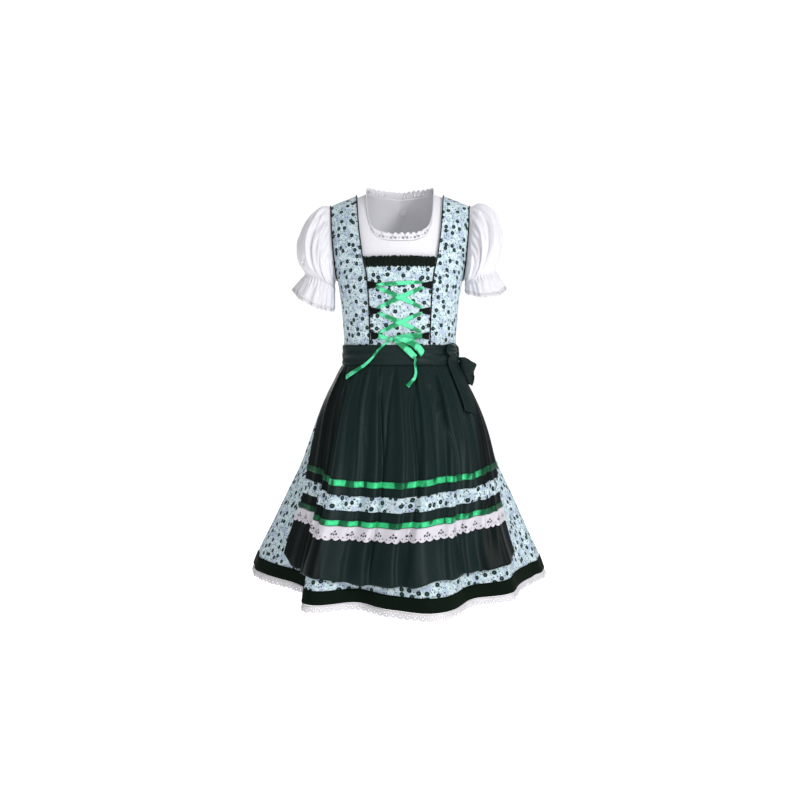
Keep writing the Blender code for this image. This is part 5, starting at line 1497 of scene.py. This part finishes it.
lacing = {
    "ribbon": 0.0008,
    "width": 0.0098,
    "angle": 20.2,
    "crimp": 0.0006,
    "bowCrimp": 0.0005,
    "gap": 0.0003,
    # how far round a place it feels for what is beneath, and the same for the knots
    "feel": 0.0045,
    "knotFeel": 0.006,
    # half width and half depth of the waist, which give the way outwards
    "waistHalf": (0.1166, 0.0862),
    "loopDome": 0.0007,
    "loopLift": 0.0018,
    # share along a stretch and share of the ribbon's width
    "widths": [(0.0, 0.34), (0.10, 0.66), (0.30, 0.92), (0.50, 1.0), (0.70, 0.92), (0.90, 0.66), (1.0, 0.34)],
    "loopHeights": (-0.184, -0.236, -0.286),
    "loopAngles": (29.6, 19.9),
    "loopSizes": (0.0160, 0.0082),
    # node, height at the right and left loop
    "rows": [
        ("lacing_bar_top", -0.1835, -0.1780), ("lacing_cross_1a", -0.1880, -0.2300),
        ("lacing_cross_1b", -0.2300, -0.1885), ("lacing_cross_2a", -0.2395, -0.2780),
        ("lacing_cross_2b", -0.2800, -0.2390),
    ],
    # angle, height, width, rise over what is below
    "endRight": [
        (-20.6, -0.2860, 0.0095, 0.0), (-16.5, -0.2885, 0.0090, 0.0002), (-12.0, -0.2905, 0.0070, 0.0004),
    ],
    "endLeft": [
        (20.8, -0.2850, 0.0105, 0.0), (14.0, -0.2865, 0.0120, 0.0002), (4.0, -0.2880, 0.0110, 0.0003),
        (-4.6, -0.2895, 0.0070, 0.0004),
    ],
    "loopLower": [
        (-4.6, -0.2945, 0.0060, 0.0), (0.0, -0.3010, 0.0105, 0.0004), (6.5, -0.3130, 0.0125, 0.0006),
        (12.0, -0.3250, 0.0110, 0.0012), (14.0, -0.3285, 0.0105, 0.0030), (12.0, -0.3250, 0.0110, 0.0048),
        (6.5, -0.3130, 0.0125, 0.0056), (0.0, -0.3010, 0.0105, 0.0050), (-4.6, -0.2945, 0.0060, 0.0030),
    ],
    "loopUpper": [
        (-4.6, -0.2900, 0.0060, 0.0), (3.0, -0.2935, 0.0105, 0.0), (11.0, -0.3010, 0.0125, 0.0),
        (17.5, -0.3155, 0.0115, 0.0004), (20.0, -0.3240, 0.0105, 0.0036), (17.5, -0.3155, 0.0115, 0.0066),
        (11.0, -0.3010, 0.0125, 0.0062), (3.0, -0.2935, 0.0105, 0.0048), (-4.6, -0.2900, 0.0060, 0.0022),
    ],
    "tailRight": [
        (-9.4, -0.2945, 0.0042, 0.0004), (-13.0, -0.2995, 0.0040, 0.0004),
        (-19.9, -0.3126, 0.0040, 0.0006), (-27.4, -0.3305, 0.0045, 0.0006),
        (-35.4, -0.3450, 0.0065, 0.0006), (-43.0, -0.3580, 0.0090, 0.0006),
        (-52.0, -0.3700, 0.0100, 0.0006),
    ],
    "tailLeft": [
        (12.6, -0.3275, 0.0044, 0.0), (13.6, -0.3340, 0.0042, 0.0), (14.0, -0.3468, 0.0042, 0.0),
        (12.9, -0.3600, 0.0045, 0.0), (9.6, -0.3745, 0.0058, 0.0), (5.4, -0.3860, 0.0072, 0.0),
    ],
}
ties = {
    "crimp": 0.0016,
    "loopFeel": 0.004,
    "loopSag": 0.0030,
    "loopLift": 0.0013,
    "front": [
        (98.0, -0.3230, 0.0330, 0.0), (90.5, -0.3225, 0.0300, 0.0004), (83.0, -0.3205, 0.0260, 0.0006),
        (76.5, -0.3180, 0.0200, 0.0008),
    ],
    "tail": [
        (66.0, -0.3240, 0.0300, 0.0004), (65.0, -0.3330, 0.0400, 0.0010), (61.5, -0.3560, 0.0400, 0.0012),
        (58.0, -0.3800, 0.0380, 0.0012), (55.0, -0.4100, 0.0350, 0.0012), (52.0, -0.4400, 0.0330, 0.0012),
    ],
    # angle, height, nearest and farthest reach from what it hangs on, half width round the body
    "loop": [
        (79.5, -0.3300, -0.0002, 0.0090, 2.0), (81.5, -0.3375, -0.0002, 0.0250, 3.5),
        (83.5, -0.3440, -0.0002, 0.0335, 5.0), (85.0, -0.3530, 0.0000, 0.0325, 6.0),
        (86.0, -0.3640, 0.0000, 0.0230, 6.0), (86.0, -0.3750, 0.0000, 0.0165, 5.5),
        (85.5, -0.3870, 0.0000, 0.0080, 4.0),
    ],
    "loopUneven": (0.0022, 0.0018),
}
# angle, height, rise, half width, half height and half depth, how many folds run round it
knots = {
    "bow_knot": (-8.3, -0.2925, 0.0041, (0.0052, 0.0056, 0.0038), 2.0),
    "tie_knot": (58.5, -0.3150, 0.0040, (0.0270, 0.0138, 0.0064), 0.0),
}


def plainRadius(direction, height):
    size = bodySize if height > skirt["top"] else skirtSize
    return 1.0 / math.hypot(direction.x / size(height), direction.y / size(height, 2))


def standOff(point, lift):
    direction = Vector((point.x, point.y, 0.0)).normalized()
    radius = plainRadius(direction, point.z) + lift
    return Vector((direction.x * radius, direction.y * radius, point.z))


def outwardAt(angle):
    turn = math.radians(angle)
    halfWidth, halfDepth = lacing["waistHalf"]
    return Vector((halfWidth * math.sin(turn), -halfDepth * math.cos(turn), 0.0)).normalized()


def wornAt(angle, height, lift=0.0):
    direction = outwardAt(angle)
    return standOff(Vector((direction.x, direction.y, height)), lift)


def treeOf(names):
    points = []
    faces = []
    for name in names:
        start = len(points)
        points += layers[name][0]
        faces += [[start + corner for corner in face] for face in layers[name][1]]
    return BVHTree.FromPolygons(points, faces)


def liftNeeded(tree, point, reach):
    flat = Vector((point.x, point.y, 0.0))
    side = Vector((-point.y, point.x, 0.0)).normalized()
    highest = 0.0
    for shift in (-reach, 0.0, reach):
        for rise in (-reach, 0.0, reach):
            probe = (flat + side * shift).normalized()
            height = point.z + rise
            hit = tree.ray_cast(Vector((probe.x, probe.y, height)), -probe)[0]
            if hit is not None:
                highest = max(highest, math.hypot(hit.x, hit.y) - plainRadius(probe, height))
    return highest


def around(values, i, span):
    return values[max(i - span, 0):i + span + 1]


def makeRibbon(node, finish, rows, beneath, steps, fixedAcross=False, crimp=0.0, cross=8):
    # a strip along a table's centre line, laid over what is beneath
    tree = treeOf(beneath)
    last = len(rows) - 1
    centres = []
    for i in range(steps + 1):
        spot = i / steps * last
        k = min(int(spot), last - 1)
        near = [rows[clamped(k + j, 0, last)] for j in (-1, 0, 1, 2)]
        angle, height, width, rise = (
            rounded(*(row[column] for row in near), spot - k) for column in range(4))
        centres.append((wornAt(angle, height, rise), outwardAt(angle), width, rise))
    farthest = max(centres, key=lambda row: (row[0] - centres[0][0]).length)[0]
    strips = []
    needs = []
    for i, (point, direction, width, rise) in enumerate(centres):
        if fixedAcross:
            along = farthest - centres[0][0]
        else:
            along = centres[min(i + 1, steps)][0] - centres[max(i - 1, 0)][0]
        across = direction.cross(along).normalized()
        line = [point + across * width * (c / cross - 0.5) for c in range(cross + 1)]
        felt = (line[0], line[cross // 2], line[-1])
        needs.append(max(liftNeeded(tree, corner, lacing["feel"]) for corner in felt))
        strips.append(line)
    span = max(round(steps / 24), 1)
    wide = [max(around(needs, i, span)) for i in range(steps + 1)]
    evened = [sum(around(wide, i, span)) / len(around(wide, i, span)) for i in range(steps + 1)]
    base = 0.5 * wall["cloth"] + 0.5 * lacing["ribbon"] + lacing["gap"]
    seed = len(pieceName(node))

    def place(u, v):
        i = round(u * steps)
        c = round((1.0 - v) * cross)
        curl = crimp * math.sin(math.pi * v) * (0.6 + 0.4 * math.sin(u * 17.0))
        curl += 0.35 * crimp * softNoise(u * 14.0, v * 4.0, seed)
        return standOff(strips[i][c], base + evened[i] + centres[i][3] + curl)

    return clothPiece(node, finish, place, steps, cross, thickness=lacing["ribbon"])


def makeLoops():
    names = []
    for word, side in (("left", 1), ("right", -1)):
        for number, height in enumerate(lacing["loopHeights"], start=1):
            def place(u, v):
                part = u if side < 0 else 1.0 - u
                angle = mix(*lacing["loopAngles"], part) * side
                tall = mix(*lacing["loopSizes"], part)
                dome = lacing["loopDome"] * math.sin(math.pi * v) * math.sin(math.pi * min(part * 1.2, 1.0))
                return bodyPoint(angle, levelAt(height + (0.5 - v) * tall), lacing["loopLift"] + dome)

            node = f"lacing_loop_{word}_{number}"
            clothPiece(node, "piping", place, 16, 12, thickness=wall["loop"])
            names.append(pieceName(node))
    return names


def makeKnot(node, finish, beneath):
    # a wrapped knot: a rounded form with the folds of the ribbon round it
    angle, height, rise, size, folds = knots[node]
    direction = outwardAt(angle)
    start = wornAt(angle, height)
    seat = standOff(start, rise + liftNeeded(treeOf(beneath), start, lacing["knotFeel"]))
    side = Vector((-direction.y, direction.x, 0.0))
    shape = bmesh.new()
    bmesh.ops.create_icosphere(shape, subdivisions=5, radius=1.0)
    for vert in shape.verts:
        p = vert.co.copy()
        ring = 1.0 + 0.05 * softNoise(p.x * 2.2, p.y * 2.2, p.z * 2.2)
        if folds:
            ring += 0.07 * math.cos(folds * 3.1 * p.x + 0.9 * math.sin(2.0 * math.atan2(p.y, p.z)))
        else:
            # folds that run together towards the wearer's left
            fan = math.atan2(p.z + 0.1, 1.35 - p.x)
            ring += 0.17 * math.cos(11.0 * fan + 1.2) * (0.5 + 0.5 * p.x)
            ring -= 0.12 * bump(p.z + 0.25 * p.x, 0.25)
        thick = ring * (1.0 - 0.22 * abs(p.x) ** 3)
        up = Vector((0.0, 0.0, p.z * thick * size[1]))
        vert.co = seat + direction * (p.y * thick) * size[2] + side * p.x * size[0] + up
    layer = shape.loops.layers.uv.new("UVMap")
    for face in shape.faces:
        for loop in face.loops:
            loop[layer].uv = (loop.vert.co.x, loop.vert.co.z)
    bmesh.ops.recalc_face_normals(shape, faces=shape.faces)
    return finishMesh(node, finish, shape)


loopNames = makeLoops()
under = ["bodiceCentreFront", "bodiceSideLeft", "bodiceSideRight"] + loopNames
for node, right, left in lacing["rows"]:
    rows = []
    for share, part in lacing["widths"]:
        width = lacing["width"] * part
        if node == "lacing_bar_top":
            width *= mix(0.95, 0.75, share)
        rows.append((mix(-lacing["angle"], lacing["angle"], share), mix(right, left, share), width, 0.0))
    made = makeRibbon(node, "satin", rows, under, 72, crimp=lacing["crimp"])
    under.append(pieceName(node))
makeKnot("bow_knot", "satin", under)
under += ["apronWaistband", "apronCloth"]
for node, key, steps in (
    ("lacing_end_right", "endRight", 30), ("lacing_end_left", "endLeft", 50),
    ("bow_loop_lower", "loopLower", 96), ("bow_tail_left", "tailLeft", 60),
    ("bow_loop_upper", "loopUpper", 96), ("bow_tail_right", "tailRight", 80),
):
    fixed = key.startswith("loop")
    made = makeRibbon(node, "satin", lacing[key], under, steps, fixedAcross=fixed, crimp=lacing["bowCrimp"])
    if key != "tailLeft":
        under.append(pieceName(node))
print("lacing and bow made")

under = ["apronWaistband", "apronTieBack", "apronCloth", "skirtFront", "skirtBack"]
makeKnot("tie_knot", "taffeta", under)
for node, key, steps in (("apron_tie_front", "front", 50), ("tie_tail", "tail", 80)):
    made = makeRibbon(node, "taffeta", ties[key], under, steps, crimp=ties["crimp"], cross=14)
    under.append(pieceName(node))


def makeTieLoop():
    # the bow's loop: a strip doubled back on itself, its fold away from the body
    rows = ties["loop"]
    tree = treeOf(under)
    noisePart, wavePart = ties["loopUneven"]
    seats = []
    for angle, height, _, _, spread in rows:
        ends = (angle - spread, angle + spread)
        seats.append([liftNeeded(tree, wornAt(at, height), ties["loopFeel"]) for at in ends])

    def place(u, v):
        at = v * (len(rows) - 1)
        angle, height, inner, outer, spread = (readRow([row[k] for row in rows], at) for k in range(5))
        seat = mix(readRow([pair[0] for pair in seats], at), readRow([pair[1] for pair in seats], at), u)
        s = 2.0 * u - 1.0
        arch = max(0.0, 1.0 - abs(s) ** 2.6) ** 0.5
        reach = inner + (outer - inner) * arch
        uneven = noisePart * softNoise(u * 5.0, v * 5.0, 2.0) + wavePart * math.sin(v * 15.0 + u * 5.0)
        reach += arch * uneven
        turned = angle + spread * s + 1.2 * arch * softNoise(u * 3.0, v * 3.0, 5.0)
        lowered = height - ties["loopSag"] * (1.0 - s * s) * v
        return wornAt(turned, lowered, ties["loopLift"] + seat + reach)

    return clothPiece("tie_loop", "taffeta", place, 60, 60, thickness=lacing["ribbon"])


makeTieLoop()
print("ties made")


# Floor, light and camera

studio = {
    "floor": -1.02,
    "floorSize": 6.0,
    "floorGlow": 0.82,
    "ambient": 0.29,
    "white": 1.05,
    "cameraDistance": 2.0,
    "cameraHeight": -0.30,
    "view": 1.68,
    "middle": -0.42,
    "sensor": 36.0,
    "aim": (0.0, 0.0, -0.40),
    # name, place, size, watts
    "lamps": [
        ("keyLight", (1.7, -2.3, 0.6), 0.7, 44.0),
        ("fillLight", (-0.3, -2.8, 0.5), 1.0, 14.0),
        ("topLight", (0.2, -0.3, 2.0), 1.4, 12.0),
        ("backLightLeft", (0.7, 2.7, 0.8), 1.4, 22.0),
        ("backLightRight", (-1.0, 2.6, 0.5), 1.4, 16.0),
    ],
}


def linked(name, data):
    made = bpy.data.objects.new(name, data)
    bpy.context.collection.objects.link(made)
    return made


def makeFloor():
    shape = bmesh.new()
    bmesh.ops.create_grid(shape, x_segments=2, y_segments=2, size=studio["floorSize"])
    for vert in shape.verts:
        vert.co.z = studio["floor"]
    mesh = bpy.data.meshes.new("studioFloor")
    shape.to_mesh(mesh)
    shape.free()
    pale = Finish("paleFloor", (0.85, 0.85, 0.85), 0.9, specular=0.1)
    pale.set("Emission Color", (1.0, 1.0, 1.0, 1.0))
    pale.set("Emission Strength", studio["floorGlow"])
    mesh.materials.append(pale.material)
    linked("studioFloor", mesh)


def makeWorld():
    # white behind the dress, and a weaker, even light from all round
    world = bpy.data.worlds.new("studioWorld")
    bpy.context.scene.world = world
    world.use_nodes = True
    tree = world.node_tree
    background = tree.nodes["Background"]
    background.inputs["Color"].default_value = (1.0, 1.0, 1.0, 1.0)
    path = tree.nodes.new("ShaderNodeLightPath")
    strength = tree.nodes.new("ShaderNodeMapRange")
    strength.inputs["To Min"].default_value = studio["ambient"]
    strength.inputs["To Max"].default_value = studio["white"]
    tree.links.new(path.outputs["Is Camera Ray"], strength.inputs["Value"])
    tree.links.new(strength.outputs["Result"], background.inputs["Strength"])


def makeStudio():
    makeFloor()
    makeWorld()
    bpy.context.scene.view_settings.view_transform = "Standard"
    for name, place, size, watts in studio["lamps"]:
        light = bpy.data.lights.new(name, "AREA")
        light.shape = "DISK"
        light.size = size
        light.energy = watts
        lamp = linked(name, light)
        lamp.location = place
        lamp.rotation_euler = (Vector(studio["aim"]) - Vector(place)).to_track_quat("-Z", "Y").to_euler()
    lens = bpy.data.cameras.new("photoCamera")
    lens.sensor_width = studio["sensor"]
    lens.lens = studio["sensor"] * studio["cameraDistance"] / studio["view"]
    lens.shift_y = (studio["middle"] - studio["cameraHeight"]) / studio["view"]
    camera = linked("photoCamera", lens)
    camera.location = (0.0, -studio["cameraDistance"], studio["cameraHeight"])
    camera.rotation_euler = (math.radians(90.0), 0.0, 0.0)
    bpy.context.scene.camera = camera


makeStudio()
print("studio made")
bpy.context.view_layer.update()
